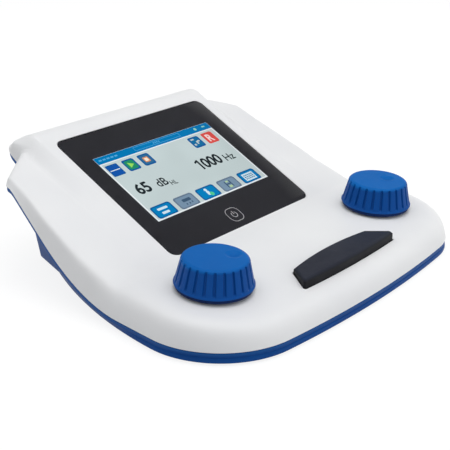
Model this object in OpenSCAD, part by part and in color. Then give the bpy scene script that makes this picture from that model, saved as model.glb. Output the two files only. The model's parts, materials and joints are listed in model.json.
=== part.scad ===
// Desktop audiometer. Millimetres. +Z is up, +X is to the right of the person who faces the display,
// -Y is the front. The origin is on the table, under the middle of the case.

/* [Plan outline] */
// Depth of the case, front edge to rear edge
case_d = 196.4; // [190:0.2:204]
// Radius of the gently bowed front edge
bow_r = 660; // [500:10:900]
// Radius of the two front corners
corner_r = 45; // [40:0.5:48]
// Centre of each front corner, from the middle plane
corner_x = 66.7; // [62:0.1:70]
// Angle by which each side leans in towards the rear, in degrees
side_taper = 7.07; // [6:0.01:8]
// Distance from the wing tips to the rear edge
wing_setback = 26.9; // [26:0.1:28]
// Sweep of the wings' rear edges, in degrees
wing_sweep = 35; // [33:0.5:37]
// Width of the display head at its foot
head_w = 149.4; // [147:0.2:151]
// Width of the flat top of the display head, at the glass's middle
head_top_w = 128; // [126:0.5:131]

/* [Heights and slopes] */
// Height of the deck at its crest
deck_h = 21.6; // [21:0.1:23]
// Distance from the rear edge forward to the deck's crest
deck_crest_fore = 119.2; // [117:0.1:122]
// Radius of the deck's fore-and-aft crown
deck_crown_r = 460; // [400:10:700]
// Tilt of the display head, in degrees
panel_tilt = 27; // [26.6:0.1:27.4]
// Height of the glass's middle above the table
glass_h = 43.9; // [43.5:0.1:44.5]
// Distance from the rear edge forward to the glass's middle
glass_fore = 67.7; // [66:0.1:69]
// Tilt of the wings beside the head, in degrees
wing_tilt = 23.9; // [23:0.1:25]
// Height of the upper shell's lower edge at the front
lip_front_h = 5.8; // [5:0.1:6.5]
// Height of the same edge at the wing tips
lip_wing_h = 51.3; // [50:0.1:52]
// Height of the same edge at the rear of the head
lip_rear_h = 60.4; // [59:0.1:61]

/* [Shells] */
// Wall of the upper shell
top_wall = 2.5; // [2:0.1:3]
// Wall of the lower shell
base_wall = 2.5; // [2:0.1:3]
// Width of the soft rounding round the upper shell
edge_round = 12; // [10:0.5:13]
// Step back from the white edge to the blue shell
reveal = 0.4; // [0.2:0.1:1]
// Gap between the two shells at their seam
seam_gap = 0.3; // [0.2:0.05:0.5]
// How quickly the blue shell's sides draw in, in 1/mm
base_tuck = 0.0021; // [0.0018:0.0001:0.0022]
// Distance from the blue shell's rear foot line to the rear edge
base_setback = 14.2; // [13:0.1:16]

/* [Display] */
// Width of the glass
glass_w = 119.5; // [118:0.1:121]
// Height of the glass along its slope
glass_l = 97.3; // [96:0.1:98.5]
// Corner radius of the glass
glass_r = 5; // [3:0.5:7]
// Thickness of the glass
glass_t = 1.8; // [1.5:0.1:2.2]
// Width of the display's lit area
lit_w = 95.04; // [94:0.01:96]
// Height of the display's lit area
lit_l = 53.86; // [53:0.01:55]
// How far the display sits above the glass's middle, along the slope
lit_up = 2.4; // [1.5:0.1:3.5]
// Thickness of the display module
lcd_t = 4; // [3:0.1:5]

/* [Dials] */
// Distance of each dial from the middle plane
knob_x = 73; // [71:0.1:74]
// Distance from the front edge back to the dials
knob_back = 47.8; // [47:0.1:50]
// Forward lean of the dials' axes, in degrees
knob_tilt = 3.67; // [3.2:0.01:4.2]
// Largest diameter of a dial, over its flange
knob_d = 39.8; // [38:0.1:41]
// Diameter of a dial's top face, before its rounded edge
knob_top_d = 34.2; // [32:0.1:35]
// Height of a dial
knob_h = 14.6; // [13:0.1:15]
// Number of grip grooves
knob_grooves = 24; // [20:1:28]
// Gap between a dial and the deck
knob_lift = 1; // [0.7:0.1:1.3]
// Diameter of the encoder shafts
shaft_d = 6; // [5.5:0.1:6.5]

/* [Presenter key] */
// Half width of the key at its front
key_front_x = 42; // [40:0.5:44]
// Half width of the key at its back
key_rear_x = 32.3; // [31:0.1:34]
// Distance from the front edge back to the key's front corners
key_front = 16.7; // [16:0.1:17.5]
// Distance from the front edge back to the key's rear corners
key_rear = 30.2; // [29.5:0.1:31]
// How far the key's level top stands above the deck, at the key's middle
key_proud = 4.04; // [3.4:0.02:4.4]
// How far the key travels
key_travel = 1.2; // [0.8:0.1:1.4]
// Clearance round the key in its slot
key_gap = 0.5; // [0.3:0.1:0.8]

/* [Sockets] */
// Diameter of the bore of an earphone socket
jack_bore_d = 6.4; // [6.3:0.05:6.6]
// Distance between neighbouring sockets of a pair
jack_pitch = 17; // [16:0.5:17.5]
// Distance of the inner sockets from the middle plane
jack_inner_x = 33; // [32:0.5:34]

/* [Base] */
// Thickness by which the feet stand below the case
foot_h = 0.8; // [0.6:0.1:1.2]
// Diameter of a rubber foot
foot_d = 12; // [10:0.5:14]

/* [Hidden] */

// colours
white = [0.90, 0.90, 0.91];
blue = [0.10, 0.25, 0.52];
dial_blue = [0.05, 0.36, 0.68];
glass_black = [0.17, 0.17, 0.18];
slate = [0.18, 0.20, 0.24];
board_green = [0.10, 0.38, 0.22];
steel = [0.72, 0.73, 0.75];

// clearances
seat_gap = 0.3;
run_gap = 0.04;
slide_gap = 0.06;
bond_gap = 0.05;

// places that the sizes above give
front_y = -case_d / 2;
rear_y = case_d / 2;
glass_y = rear_y - glass_fore;
panel_slope = tan(panel_tilt);
wing_slope = tan(wing_tilt);
deck_crest_y = rear_y - deck_crest_fore;
kink_y = glass_y - (glass_h - deck_h) / panel_slope;
knob_y = front_y + knob_back;
foot_half = head_w / 2;
bow_cy = front_y + bow_r;
bow_a = asin(corner_x / (bow_r - corner_r));
corner_y = bow_cy - (bow_r - corner_r) * cos(bow_a);
side_dir = [-sin(side_taper), cos(side_taper)];
side_in = [-cos(side_taper), -sin(side_taper)];
wing_dir = [-cos(wing_sweep), sin(wing_sweep)];
wing_in = [-sin(wing_sweep), -cos(wing_sweep)];
side_start = [corner_x, corner_y] - side_in * corner_r;
wing_tip_y = rear_y - wing_setback;
wing_tip = side_start + side_dir * (wing_tip_y - side_start[1]) / side_dir[1];
base_rear_y = rear_y - base_setback;

// radii of the outline's rear corners: wing tip, hollow beside the head, head corner
tip_r = 4.5;
hollow_r = 3;
head_corner_r = 6.5;
base_corner_r = 10;
base_corner_x = 68.5;
base_box_l = 15;

// the soft rounding is wider at the rear of the head, narrower along the wings' rear edges
round_rear = 14;
round_wing = 14.5;
round_head = 10;
// each place's rounding is a conic: how far in its corner stands, as a share, and how full it is
soft_front = [0.02, 1.5];
soft_side = [0.25, 2];
soft_wing = [0.1, 2.5];
soft_head = [0.1, 1.8];
soft_rear = [0.1, 1];
rear_bow = 1.5;
crest_fore = 19.2;
crest_drop = 0.05;
camber = 0.0034;
camber_run = 25;
blend = 1.5;
lip_rise_fore = 117.7;
lip_straight_fore = 57.1;
lip_side_slope = 0.8;
lip_wing_slope = 0.2;
lip_head_start = 12;
head_flare = 0.06;

// how finely the outline is cut up
bow_steps = 4;
corner_steps = 8;
side_rows_rear = 4;
arc_steps = 3;
wing_steps = 3;
head_arc_steps = 4;
rear_steps = 4;
skirt_steps = 6;
inner_skirt_steps = 2;
row_cells = 16;

// heights
floor_z = foot_h;
floor_top = foot_h + base_wall;
base_edge_r = 0.6;
rim_h = 2.2;
rim_step = 0.2;
inner_tub_lift = 0.5;

// the blue wall bends here: share of the way out, share of the way up
tub_in = 0.35;
tub_up = 0.75;

// ---- plain helpers ----
function lerp(a, b, t) = a + (b - a) * t;
function unit(v) = v / norm(v);
function square_of(v) = v * v;
function smooth_max(a, b, k) = max(a, b) + square_of(max(k - abs(a - b), 0)) / (4 * k);
function clamp(v, low, high) = min(max(v, low), high);
function reverse(v) = [for (i = [len(v) - 1 : -1 : 0]) v[i]];
function cross_2d(u, v) = u[0] * v[1] - u[1] * v[0];
function meet(p, u, q, v) = p + u * cross_2d(q - p, v) / cross_2d(u, v);

// arc that rounds the corner a-b-c to radius r, as steps + 1 points
function round_corner(a, b, c, r, steps) =
  let (
    da = unit(a - b),
    dc = unit(c - b),
    half = acos(da * dc) / 2,
    mid = b + unit(da + dc) * r / sin(half),
    p0 = b + da * r / tan(half) - mid,
    p1 = b + dc * r / tan(half) - mid,
    a0 = atan2(p0[1], p0[0]),
    turn = (atan2(p1[1], p1[0]) - a0 + 540) % 360 - 180
  )
  [for (i = [0 : steps]) mid + r * [cos(a0 + turn * i / steps), sin(a0 + turn * i / steps)]];

// ---- the case's plan outline, right half, front to rear ----
function front_part(d) = [
  for (i = [0 : bow_steps - 1])
    let (a = bow_a * (i + 0.5) / bow_steps)
    [(bow_r - d) * sin(a), bow_cy - (bow_r - d) * cos(a)],
  for (i = [0 : corner_steps])
    let (a = lerp(bow_a - 90, side_taper, i / corner_steps))
    [corner_x, corner_y] + (corner_r - d) * [cos(a), sin(a)]
];

// shares of the side's length at which the outline has a point, close together at the foot of the head
kink_share = (kink_y - side_start[1]) / (wing_tip_y - side_start[1]);
side_shares = [
  kink_share * 0.45, kink_share - 0.06, kink_share - 0.02, kink_share + 0.02, kink_share + 0.06,
  for (i = [1 : side_rows_rear - 1]) lerp(kink_share + 0.06, 1, i / side_rows_rear)
];

// inset by d at the front and sides, by dw behind the wings, dp beside the head and dr behind it
function half_outline(d, dw, dp, dr, radii, bow = 0) =
  let (
    s = side_start + side_in * d,
    head_x = foot_half - dp,
    back_y = rear_y - dr,
    w = meet(s, side_dir, wing_tip + wing_in * dw, wing_dir),
    j = meet(wing_tip + wing_in * dw, wing_dir, [head_x, 0], [0, 1]),
    q = [head_x, back_y],
    tip = round_corner(s, w, j, radii[0], arc_steps),
    hollow = round_corner(w, j, q, radii[1], arc_steps),
    head = round_corner(j, q, [0, back_y], radii[2], head_arc_steps),
    last_x = head[head_arc_steps][0]
  )
  concat(
    front_part(d),
    [for (t = side_shares) lerp(s, tip[0], t)],
    tip,
    [for (i = [1 : wing_steps]) lerp(tip[arc_steps], hollow[0], i / (wing_steps + 1))],
    hollow,
    head,
    [for (i = [1 : rear_steps])
      let (x = last_x * (1 - i / (rear_steps + 0.5)))
      [x, back_y + bow * (1 - pow(x / last_x, 2))]]
  );

// where the blue shell stands: the same points in the same order, with its sides drawn in
base_side_end_y = wing_tip_y - base_box_l;
function base_side(y, d) =
  let (back = y - side_start[1])
  side_start[0] - back * tan(side_taper) - d - base_tuck * square_of(max(back, 0));
function half_base(d) =
  let (
    s = [side_start[0], side_start[1]],
    end = [base_side(base_side_end_y, d), base_side_end_y],
    back_y = base_rear_y - d,
    v = [base_corner_x - d, back_y],
    n = 2 * (arc_steps + 1) + head_arc_steps + wing_steps,
    arc = round_corner(end, v, [0, back_y], base_corner_r - d, n),
    last_x = arc[n][0]
  )
  concat(
    front_part(d),
    [for (t = side_shares) let (y = lerp(s[1], base_side_end_y, t)) [base_side(y, d), y]],
    arc,
    [for (i = [1 : rear_steps]) [last_x * (1 - i / (rear_steps + 0.5)), back_y]]
  );

// ---- heights of the upper surface and of its lower edge ----
function deck_z(y) = deck_h - pow(y - deck_crest_y, 2) / (2 * deck_crown_r);
function panel_z(y) =
  glass_h + (y - glass_y) * panel_slope - crest_drop * square_of(max(y - rear_y + crest_fore, 0));
function wing_z(y) = deck_h + (y - kink_y) * wing_slope;
function shoulder_x(y) = head_top_w / 2 + head_flare * max(y - glass_y, 0);
function ease(t) = let (u = clamp(t, 0, 1)) lerp(u, u * u * (3 - 2 * u), 0.6);
function top_z(x, y) =
  let (
    share = ease((abs(x) - shoulder_x(y)) / (foot_half - shoulder_x(y))),
    slope_z = lerp(panel_z(y), min(panel_z(y), wing_z(y)), share),
    out = max(abs(x) - foot_half, 0)
  )
  smooth_max(deck_z(y), slope_z, blend) - camber * out * out * clamp((y - kink_y) / camber_run, 0, 1);

lip_rise_y = rear_y - lip_rise_fore;
lip_straight_y = rear_y - lip_straight_fore;
lip_head_y = rear_y - lip_head_start;
lip_curve = lip_side_slope / (2 * (lip_straight_y - lip_rise_y));
function lip_side(y) =
  lip_front_h + lip_curve * pow(clamp(y, lip_rise_y, lip_straight_y) - lip_rise_y, 2)
  + lip_side_slope * max(y - lip_straight_y, 0);
lip_head_z = lip_wing_h + lip_wing_slope * (lip_head_y - wing_tip_y);
function lip_back(y) =
  lip_wing_h + lip_wing_slope * (min(y, lip_head_y) - wing_tip_y)
  + (lip_rear_h - lip_head_z) * max(y - lip_head_y, 0) / lip_head_start;
function lip_z(y) = min(lip_side(y), lip_back(y));

// ---- rings and faces ----
function ring(half) = concat(half, [for (p = reverse(half)) [-p[0], p[1]]]);
function raise(loop, z) = [for (p = loop) [p[0], p[1], z]];

// faces between two rings of n points that start at a (below) and b (above)
function band(a, b, n, outward) = [
  for (i = [0 : n - 1])
    let (j = (i + 1) % n)
    each outward
      ? [[a + i, b + i, b + j], [a + i, b + j, a + j]]
      : [[a + i, b + j, b + i], [a + i, a + j, b + j]]
];

// x of cell edge c in a row that ends at x = edge
function cell_x(c, edge) =
  let (
    h = row_cells / 2,
    s = min(head_top_w / 2, 0.86 * edge),
    f = min(foot_half, lerp(s, edge, 0.6)),
    k = abs(c - h),
    x = [0, s * 0.4, s * 0.75, s, lerp(s, f, 0.5), f, lerp(f, edge, 0.33), lerp(f, edge, 0.67), edge][k]
  )
  c < h ? -x : x;

// points inside a ring: one row for each pair of mirrored points except the first and the last pair
function row_points(half, drop) = [
  for (i = [1 : len(half) - 2])
    for (c = [1 : row_cells - 1])
      let (x = cell_x(c, half[i][0]))
      [x, half[i][1], top_z(x, half[i][1]) - drop]
];

// number of the point in row i, cell edge c; the ring starts at r and the inside points at s
function row_index(i, c, r, s, n) =
  c == 0 ? r + n - 1 - i : c == row_cells ? r + i : s + (i - 1) * (row_cells - 1) + c - 1;
function turned(f, up) = up ? f : reverse(f);
function row_faces(r, s, n, up) =
  let (rows = n / 2, last = rows - 2, mid = row_cells / 2)
  [
    for (i = [1 : last - 1])
      for (c = [0 : row_cells - 1])
        let (
          p = row_index(i, c, r, s, n),
          q = row_index(i + 1, c, r, s, n),
          t = row_index(i + 1, c + 1, r, s, n),
          u = row_index(i, c + 1, r, s, n)
        )
        each [turned([p, q, t], up), turned([p, t, u], up)],
    for (c = [0 : row_cells - 1])
      turned([c < mid ? r + n - 1 : r, row_index(1, c, r, s, n), row_index(1, c + 1, r, s, n)], up),
    turned([r + n - 1, row_index(1, mid, r, s, n), r], up),
    for (c = [0 : row_cells - 1])
      turned([row_index(last, c, r, s, n), c < mid ? r + n - rows : r + rows - 1,
              row_index(last, c + 1, r, s, n)], up),
    turned([r + n - rows, r + rows - 1, row_index(last, mid, r, s, n)], up)
  ];

// the rounding's conic for each point of half the outline, in the outline's order
soft_half = concat(
  [for (i = [0 : bow_steps + corner_steps]) soft_front],
  [for (i = [1 : len(side_shares)]) lerp(soft_front, soft_side, min(1, i / 4))],
  [for (i = [0 : arc_steps]) lerp(soft_side, soft_wing, i / arc_steps)],
  [for (i = [1 : wing_steps]) soft_wing],
  [for (i = [0 : arc_steps]) lerp(soft_wing, soft_head, i / arc_steps)],
  [for (i = [0 : head_arc_steps]) lerp(soft_head, soft_rear, pow(i / head_arc_steps, 2))],
  [for (i = [1 : rear_steps]) soft_rear]
);
soft_loop = concat(soft_half, reverse(soft_half));

// rounded skirt from the lip up to the top surface, drop below the outer surface
function skirt(low, high, drop, lift, steps) = [
  for (k = [0 : steps])
    for (i = [0 : len(low) - 1])
      let (
        t = k / steps,
        mid = 2 * soft_loop[i][1] * t * (1 - t),
        all = pow(1 - t, 2) + mid + t * t,
        p = lerp(low[i], high[i], (mid * soft_loop[i][0] + t * t) / all),
        z0 = lip_z(low[i][1]) + lift,
        fall = (top_z(low[i][0], low[i][1]) - drop - z0) * pow(1 - t, 2) / all
      )
      [p[0], p[1], top_z(p[0], p[1]) - drop - fall]
];

lip_radii = [tip_r, hollow_r, head_corner_r];
crown_radii = [2, 0.6, 4];
lip_loop = ring(half_outline(0, 0, 0, 0, lip_radii));
crown_half = half_outline(edge_round, round_wing, round_head, round_rear, crown_radii, rear_bow);
inner_radii = [tip_r - top_wall, hollow_r + top_wall, head_corner_r - top_wall];
inner_lip_loop = ring(half_outline(top_wall, top_wall, top_wall, top_wall, inner_radii));

// upper shell without its openings
module top_skin() {
  n = len(lip_loop);
  outer = skirt(lip_loop, ring(crown_half), 0, seam_gap, skirt_steps);
  rows = row_points(crown_half, 0);
  inner = skirt(inner_lip_loop, ring(crown_half), top_wall, seam_gap, inner_skirt_steps);
  inner_rows = row_points(crown_half, top_wall);
  rows_at = len(outer);
  inner_at = rows_at + len(rows);
  inner_rows_at = inner_at + len(inner);
  polyhedron(
    concat(outer, rows, inner, inner_rows),
    [
      for (k = [0 : skirt_steps - 1]) each band(k * n, (k + 1) * n, n, true),
      each row_faces(skirt_steps * n, rows_at, n, true),
      for (k = [0 : inner_skirt_steps - 1]) each band(inner_at + k * n, inner_at + (k + 1) * n, n, false),
      each row_faces(inner_at + inner_skirt_steps * n, inner_rows_at, n, false),
      each band(inner_at, 0, n, true)
    ],
    convexity = 8
  );
}

function lip_ring(d, down) = [
  for (p = ring(half_outline(d, d, d, d, [tip_r - d, hollow_r + d, head_corner_r - d])))
    [p[0], p[1], lip_z(p[1]) - down]
];

// ring between two rings, where the blue wall bends
function bend_ring(low, high, lift) = [
  for (i = [0 : len(low) - 1])
    let (a = low[i], b = high[i])
    [lerp(a[0], b[0], tub_in), lerp(a[1], b[1], tub_in), lerp(a[2], b[2], tub_up) + lift]
];

// lower shell without its openings
module base_skin() {
  sole = raise(ring(half_base(base_edge_r)), floor_z);
  edge = raise(ring(half_base(0)), floor_z + base_edge_r);
  well = raise(ring(half_base(base_wall)), floor_top);
  inner_lip = lip_ring(reveal + base_wall, 0);
  rim = lip_ring(reveal + rim_step, rim_h);
  n = len(sole);
  polyhedron(
    concat(
      sole, edge, bend_ring(edge, rim, 0), rim, lip_ring(reveal, 0),
      inner_lip, bend_ring(well, inner_lip, inner_tub_lift), well
    ),
    [
      [for (i = [0 : n - 1]) i],
      for (k = [0 : 4]) each band(k * n, (k + 1) * n, n, true),
      each band(6 * n, 5 * n, n, false),
      each band(7 * n, 6 * n, n, false),
      [for (i = [n - 1 : -1 : 0]) 7 * n + i]
    ],
    convexity = 8
  );
}

// ---- local frames ----
// on the glass, x across, y up the slope, z out of the glass
module on_panel() {
  translate([0, glass_y, glass_h]) rotate([panel_tilt, 0, 0]) children();
}
// on the deck under a dial, z along the dial's axis
knob_deck_z = deck_z(knob_y);
module on_deck(x = 0) {
  translate([x, knob_y, knob_deck_z]) rotate([knob_tilt, 0, 0]) children();
}
// on the blue shell's leaning rear wall, z out of the wall, y up it, x to the left seen from the front
rear_rise = lip_rear_h - rim_h - floor_z - base_edge_r;
rear_lean = atan(tub_in * (base_setback - reveal - rim_step) / (tub_up * rear_rise));
rear_panel_z = 24;
rear_wall_y = base_rear_y + (rear_panel_z - floor_z - base_edge_r) * tan(rear_lean);
module on_rear() {
  translate([0, rear_wall_y, rear_panel_z]) rotate([-90 - rear_lean, 0, 0]) rotate([0, 0, 180]) children();
}

// ---- shared small shapes ----
module rounded_plate(w, l, r, t) {
  linear_extrude(t) {
    square([w - 2 * r, l], center = true);
    square([w, l - 2 * r], center = true);
    for (x = [-1, 1])
      for (y = [-1, 1])
        translate([x * (w / 2 - r), y * (l / 2 - r)]) circle(r, $fn = 48);
  }
}
module block(w, l, t) {
  translate([0, 0, t / 2]) cube([w, l, t], center = true);
}
module tube(outer_r, inner_r, h) {
  difference() {
    cylinder(h, r = outer_r, $fn = 64);
    translate([0, 0, -1]) cylinder(h + 2, r = inner_r, $fn = 64);
  }
}
// screw with its head's underside at z = 0 and its shank down
module pan_screw(thread_r, length, head_r, head_h) {
  difference() {
    union() {
      cylinder(head_h, r = head_r, $fn = 32);
      translate([0, 0, -length]) cylinder(length, r = thread_r, $fn = 32);
    }
    translate([0, 0, head_h / 2]) cylinder(head_h, r = head_r * 0.45, $fn = 6);
  }
}

// ---- display stack, measured down from the glass's face ----
pocket_gap = 0.3;
mask_t = 0.2;
sensor_t = 0.5;
tape_t = 0.25;
ledge_t = 1.8;
ledge_side = 3;
ledge_end = 1;
lcd_w = 105.5;
lcd_l = 67.2;
lcd_gap = 0.5;
mask_z = -glass_t - mask_t;
sensor_z = mask_z - sensor_t;
tape_z = sensor_z - tape_t;
ledge_z = tape_z - ledge_t;
lcd_top_z = sensor_z - bond_gap;
lcd_z = lcd_top_z - lcd_t;
frame_t = 1.2;
frame_z = lcd_z - seat_gap - frame_t;
frame_w = lcd_w + 16;
frame_l = lcd_l + 4;
frame_hole_x = lcd_w / 2 + 5;
frame_hole_y = lcd_l / 2 - 8;
display_ribbon_w = 24;
ribbon_notch = 12;
board_t = 1.6;
// how far the main board reaches past its screw holes
board_side = 2.25;
board_end = 5.4;
main_board_z = frame_z - 6;
main_board_w = 2 * (frame_hole_x + board_side);
main_board_l = 2 * (frame_hole_y + board_end);
main_hole_x = frame_hole_x;
boss_r = 3.2;
pilot_r = 1.2;

// small screws of the boards and of the display's frame
small_screw_r = 1.15;
small_head_r = 2.3;
small_head_h = 1.3;
small_hole_r = 1.4;

module frame_bosses() {
  for (x = [-1, 1])
    for (y = [-1, 1])
      translate([x * frame_hole_x, lit_up + y * frame_hole_y, frame_z + frame_t + bond_gap])
        cylinder(ledge_z - frame_z - frame_t - bond_gap + 0.5, r = boss_r, $fn = 32);
}
module frame_pilots() {
  for (x = [-1, 1])
    for (y = [-1, 1])
      translate([x * frame_hole_x, lit_up + y * frame_hole_y, frame_z - 1])
        cylinder(ledge_z - frame_z + 1.8, r = pilot_r, $fn = 24);
}

// ---- case bosses and screws ----
case_points = [
  [corner_x + corner_r - 17.7, front_y + 54.2],
  [key_front_x, front_y + 8.6],
  [base_corner_x + 5, base_rear_y - 40]
];
case_split = [10, 9.5, 22];
case_boss_r = 3.6;
case_pilot_r = 1.3;
case_screw_r = 1.25;
case_hole_r = 1.7;
case_head_r = 2.9;
case_head_h = 2;
case_sink = 3.2;
case_reach = [5, 4, 12];
module at_case_points() {
  for (i = [0 : 2])
    for (side = [-1, 1])
      translate([side * case_points[i][0], case_points[i][1], 0]) {
        $point = i;
        children();
      }
}
module top_bosses() {
  at_case_points() {
    p = case_points[$point];
    low = case_split[$point] + seat_gap;
    translate([0, 0, low]) cylinder(top_z(p[0], p[1]) - top_wall + 0.4 - low, r = case_boss_r, $fn = 32);
  }
}
module top_pilots() {
  at_case_points()
    translate([0, 0, case_split[$point]])
      cylinder(case_reach[$point] + 1, r = case_pilot_r, $fn = 24);
}

// ---- openings in the upper shell ----
bush_r = 4.5;
bush_hole_r = bush_r + seat_gap;
spot_r = 10;
spot_depth = 0.4;
key_under = 1.96;
key_deck_z = deck_z(front_y + (key_front + key_rear) / 2);
key_top_h = key_deck_z + key_proud;
key_flange_z = key_deck_z - top_wall - key_under;
key_flange_t = 1.3;
key_bow_front = 1.4;
key_bow_rear = 2.8;
key_bow_steps = 6;
key_chamfer = 1.2;

// outline of the key, grown by g
function key_outline(g) =
  let (
    yf = front_y + key_front - g,
    yr = front_y + key_rear + g,
    xf = key_front_x + 1.3 * g,
    xr = key_rear_x + 0.7 * g
  )
  concat(
    [for (i = [0 : key_bow_steps])
      let (t = 2 * i / key_bow_steps - 1) [xf * t, yf - key_bow_front * (1 - t * t)]],
    [for (i = [0 : key_bow_steps])
      let (t = 1 - 2 * i / key_bow_steps) [xr * t, yr + key_bow_rear * (1 - t * t)]]
  );

module top_shell() {
  color(white)
    difference() {
      union() {
        top_skin();
        on_panel()
          translate([0, 0, ledge_z])
            block(glass_w + 2 * ledge_side, glass_l + 2 * ledge_end, ledge_t + 1);
        on_panel() frame_bosses();
        top_bosses();
      }
      on_panel() {
        translate([0, 0, tape_z])
          rounded_plate(glass_w + 2 * pocket_gap, glass_l + 2 * pocket_gap, glass_r + pocket_gap, 12);
        translate([0, lit_up, ledge_z - 3]) block(lcd_w + 2 * lcd_gap, lcd_l + 2 * lcd_gap, 8);
        frame_pilots();
      }
      for (side = [-1, 1])
        on_deck(side * knob_x) {
          translate([0, 0, -10]) cylinder(20, r = bush_hole_r, $fn = 48);
          translate([0, 0, -spot_depth]) cylinder(6, r = spot_r, $fn = 64);
        }
      translate([0, 0, key_flange_z]) linear_extrude(20) polygon(key_outline(key_gap));
      top_pilots();
    }
}

// ---- lower shell ----
rear_panel_w = 132;
rear_panel_l = 30;
rear_panel_t = 2;
rear_panel_r = 3;
rear_fit = 0.3;
rear_screw_x = 61;
rear_ledge = 3;
rear_opening_w = 2 * (rear_screw_x - rear_ledge);
battery_w = 62;
battery_l = 36;
battery_t = 15;
battery_y = base_rear_y - 44;
battery_gap = 0.5;
bay_wall = 1.6;
bay_h = 11;
door_w = 58;
door_l = 32;
door_t = 1.8;
door_gap = 0.3;
door_screw_y = battery_y - door_l / 2 + 4;
speaker_x = 45;
speaker_r = 15;
speaker_t = 7;
speaker_ring = 1.9;
slot_w = 1.6;
slot_pitch = 4;
// height of the control board's upper face, in the deck's frame
control_board_top = -9.6;
post_foot = -20;
control_front = -30;
control_rear = 14;
// the speaker lies midway between the control board and the battery
speaker_y = (knob_y + control_rear + battery_y - battery_l / 2) / 2;
control_holes = [[80, 10], [50, -22]];
foot_points = [[corner_x + 17.3, front_y + 36.2], [base_corner_x - 6.5, base_rear_y - 24]];
foot_sink = 0.8;

module control_posts(r, top) {
  for (h = control_holes)
    for (side = [-1, 1])
      on_deck(side * h[0])
        translate([0, h[1], post_foot]) cylinder(top - post_foot, r = r, $fn = 32);
}
module bottom_shell() {
  color(blue)
    difference() {
      union() {
        base_skin();
        at_case_points()
          translate([0, 0, floor_z + 1])
            cylinder(case_split[$point] - floor_z - 1, r = case_boss_r, $fn = 32);
        intersection() {
          control_posts(boss_r, control_board_top - board_t - bond_gap);
          translate([-100, front_y, floor_z + 1]) cube([200, 100, 20]);
        }
        // battery bay walls
        translate([0, battery_y, floor_z + 1])
          difference() {
            block(battery_w + 2 * (battery_gap + bay_wall), battery_l + 2 * (battery_gap + bay_wall), bay_h);
            translate([0, 0, -1]) block(battery_w + 2 * battery_gap, battery_l + 2 * battery_gap, bay_h + 2);
          }
        // speaker ring
        translate([speaker_x, speaker_y, floor_z + 1])
          tube(speaker_r + speaker_ring, speaker_r + seat_gap, base_wall + 1.5);
        // ledge behind the rear panel
        on_rear()
          translate([0, 0, -rear_panel_t - 2])
            block(rear_panel_w + 2 * rear_ledge, rear_panel_l + 2 * rear_ledge, 2);
      }
      at_case_points() {
        translate([0, 0, -1]) cylinder(floor_z + case_sink + 1, r = case_head_r + seat_gap, $fn = 32);
        translate([0, 0, -1]) cylinder(40, r = case_hole_r, $fn = 32);
      }
      control_posts_pilots();
      // opening for the rear panel, and the larger seat for its edge
      on_rear() {
        translate([0, 0, -rear_panel_t])
          rounded_plate(rear_panel_w + 2 * rear_fit, rear_panel_l + 2 * rear_fit, rear_panel_r, 8);
        translate([0, 0, -rear_panel_t - 6])
          block(rear_opening_w, rear_panel_l - 2 * rear_ledge, 12);
        for (side = [-1, 1])
          translate([side * rear_screw_x, 0, -rear_panel_t - 8]) cylinder(10, r = pilot_r, $fn = 24);
      }
      // battery opening with a rebate for the door
      translate([0, battery_y, -1]) block(door_w - 4, door_l - 4, floor_top + 2);
      translate([0, battery_y, 0]) block(door_w + 2 * door_gap, door_l + 2 * door_gap, floor_z + door_t);
      // speaker slots
      for (i = [-2 : 2])
        translate([speaker_x + i * slot_pitch, speaker_y, -1])
          block(slot_w, 20 - 3 * abs(i), floor_top + 2);
      // seats for the feet
      for (p = foot_points)
        for (side = [-1, 1])
          translate([side * p[0], p[1], 0]) cylinder(floor_z + foot_sink, r = foot_d / 2 + 0.2, $fn = 48);
    }
}
module control_posts_pilots() {
  for (h = control_holes)
    for (side = [-1, 1])
      on_deck(side * h[0])
        translate([0, h[1], control_board_top - board_t - 4]) cylinder(8, r = pilot_r, $fn = 24);
}

// ---- display ----
module cover_glass() {
  color(glass_black) on_panel() translate([0, 0, -glass_t]) rounded_plate(glass_w, glass_l, glass_r, glass_t);
}
module bezel_mask() {
  color("black")
    on_panel()
      translate([0, 0, mask_z])
        difference() {
          rounded_plate(glass_w - 0.4, glass_l - 0.4, glass_r, mask_t);
          translate([0, lit_up, -1]) block(lit_w + 0.6, lit_l + 0.6, 3);
        }
}
// the touch sensor's distance from the glass's edges
sensor_side = 3.75;
sensor_end = 3.65;
sensor_w = glass_w - 2 * sensor_side;
sensor_l = glass_l - 2 * sensor_end;
module touch_sensor() {
  color([0.8, 0.85, 0.85, 0.5]) on_panel() translate([0, 0, sensor_z]) block(sensor_w, sensor_l, sensor_t);
}
module glass_tape() {
  color([0.3, 0.3, 0.3])
    on_panel()
      translate([0, 0, tape_z])
        difference() {
          block(sensor_w, sensor_l, tape_t);
          translate([0, lit_up, -1]) block(lcd_w + 2 * lcd_gap + 0.6, lcd_l + 2 * lcd_gap + 0.6, 3);
        }
}
module lcd_module() {
  color([0.75, 0.83, 0.83])
    on_panel()
      translate([0, lit_up, lcd_z])
        difference() {
          block(lcd_w, lcd_l, lcd_t);
          translate([0, 0, lcd_t - 0.1]) block(lit_w, lit_l, 1);
        }
}
module lcd_frame() {
  color(steel)
    on_panel()
      translate([0, lit_up, frame_z])
        difference() {
          block(frame_w, frame_l, frame_t);
          translate([0, 0, -1]) block(lcd_w - 30, lcd_l - 30, 4);
          translate([0, frame_l / 2, -1]) block(display_ribbon_w + 4, 2 * ribbon_notch, 4);
          for (x = [-1, 1])
            for (y = [-1, 1])
              translate([x * frame_hole_x, y * frame_hole_y, -1]) cylinder(4, r = small_hole_r, $fn = 32);
        }
}
module lcd_frame_screws() {
  color(steel)
    on_panel()
      for (x = [-1, 1])
        translate([x * frame_hole_x, lit_up - frame_hole_y, frame_z - bond_gap])
          rotate([180, 0, 0]) pan_screw(small_screw_r, frame_t + 2, small_head_r, small_head_h);
}
standoff_r = 2.6;
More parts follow.
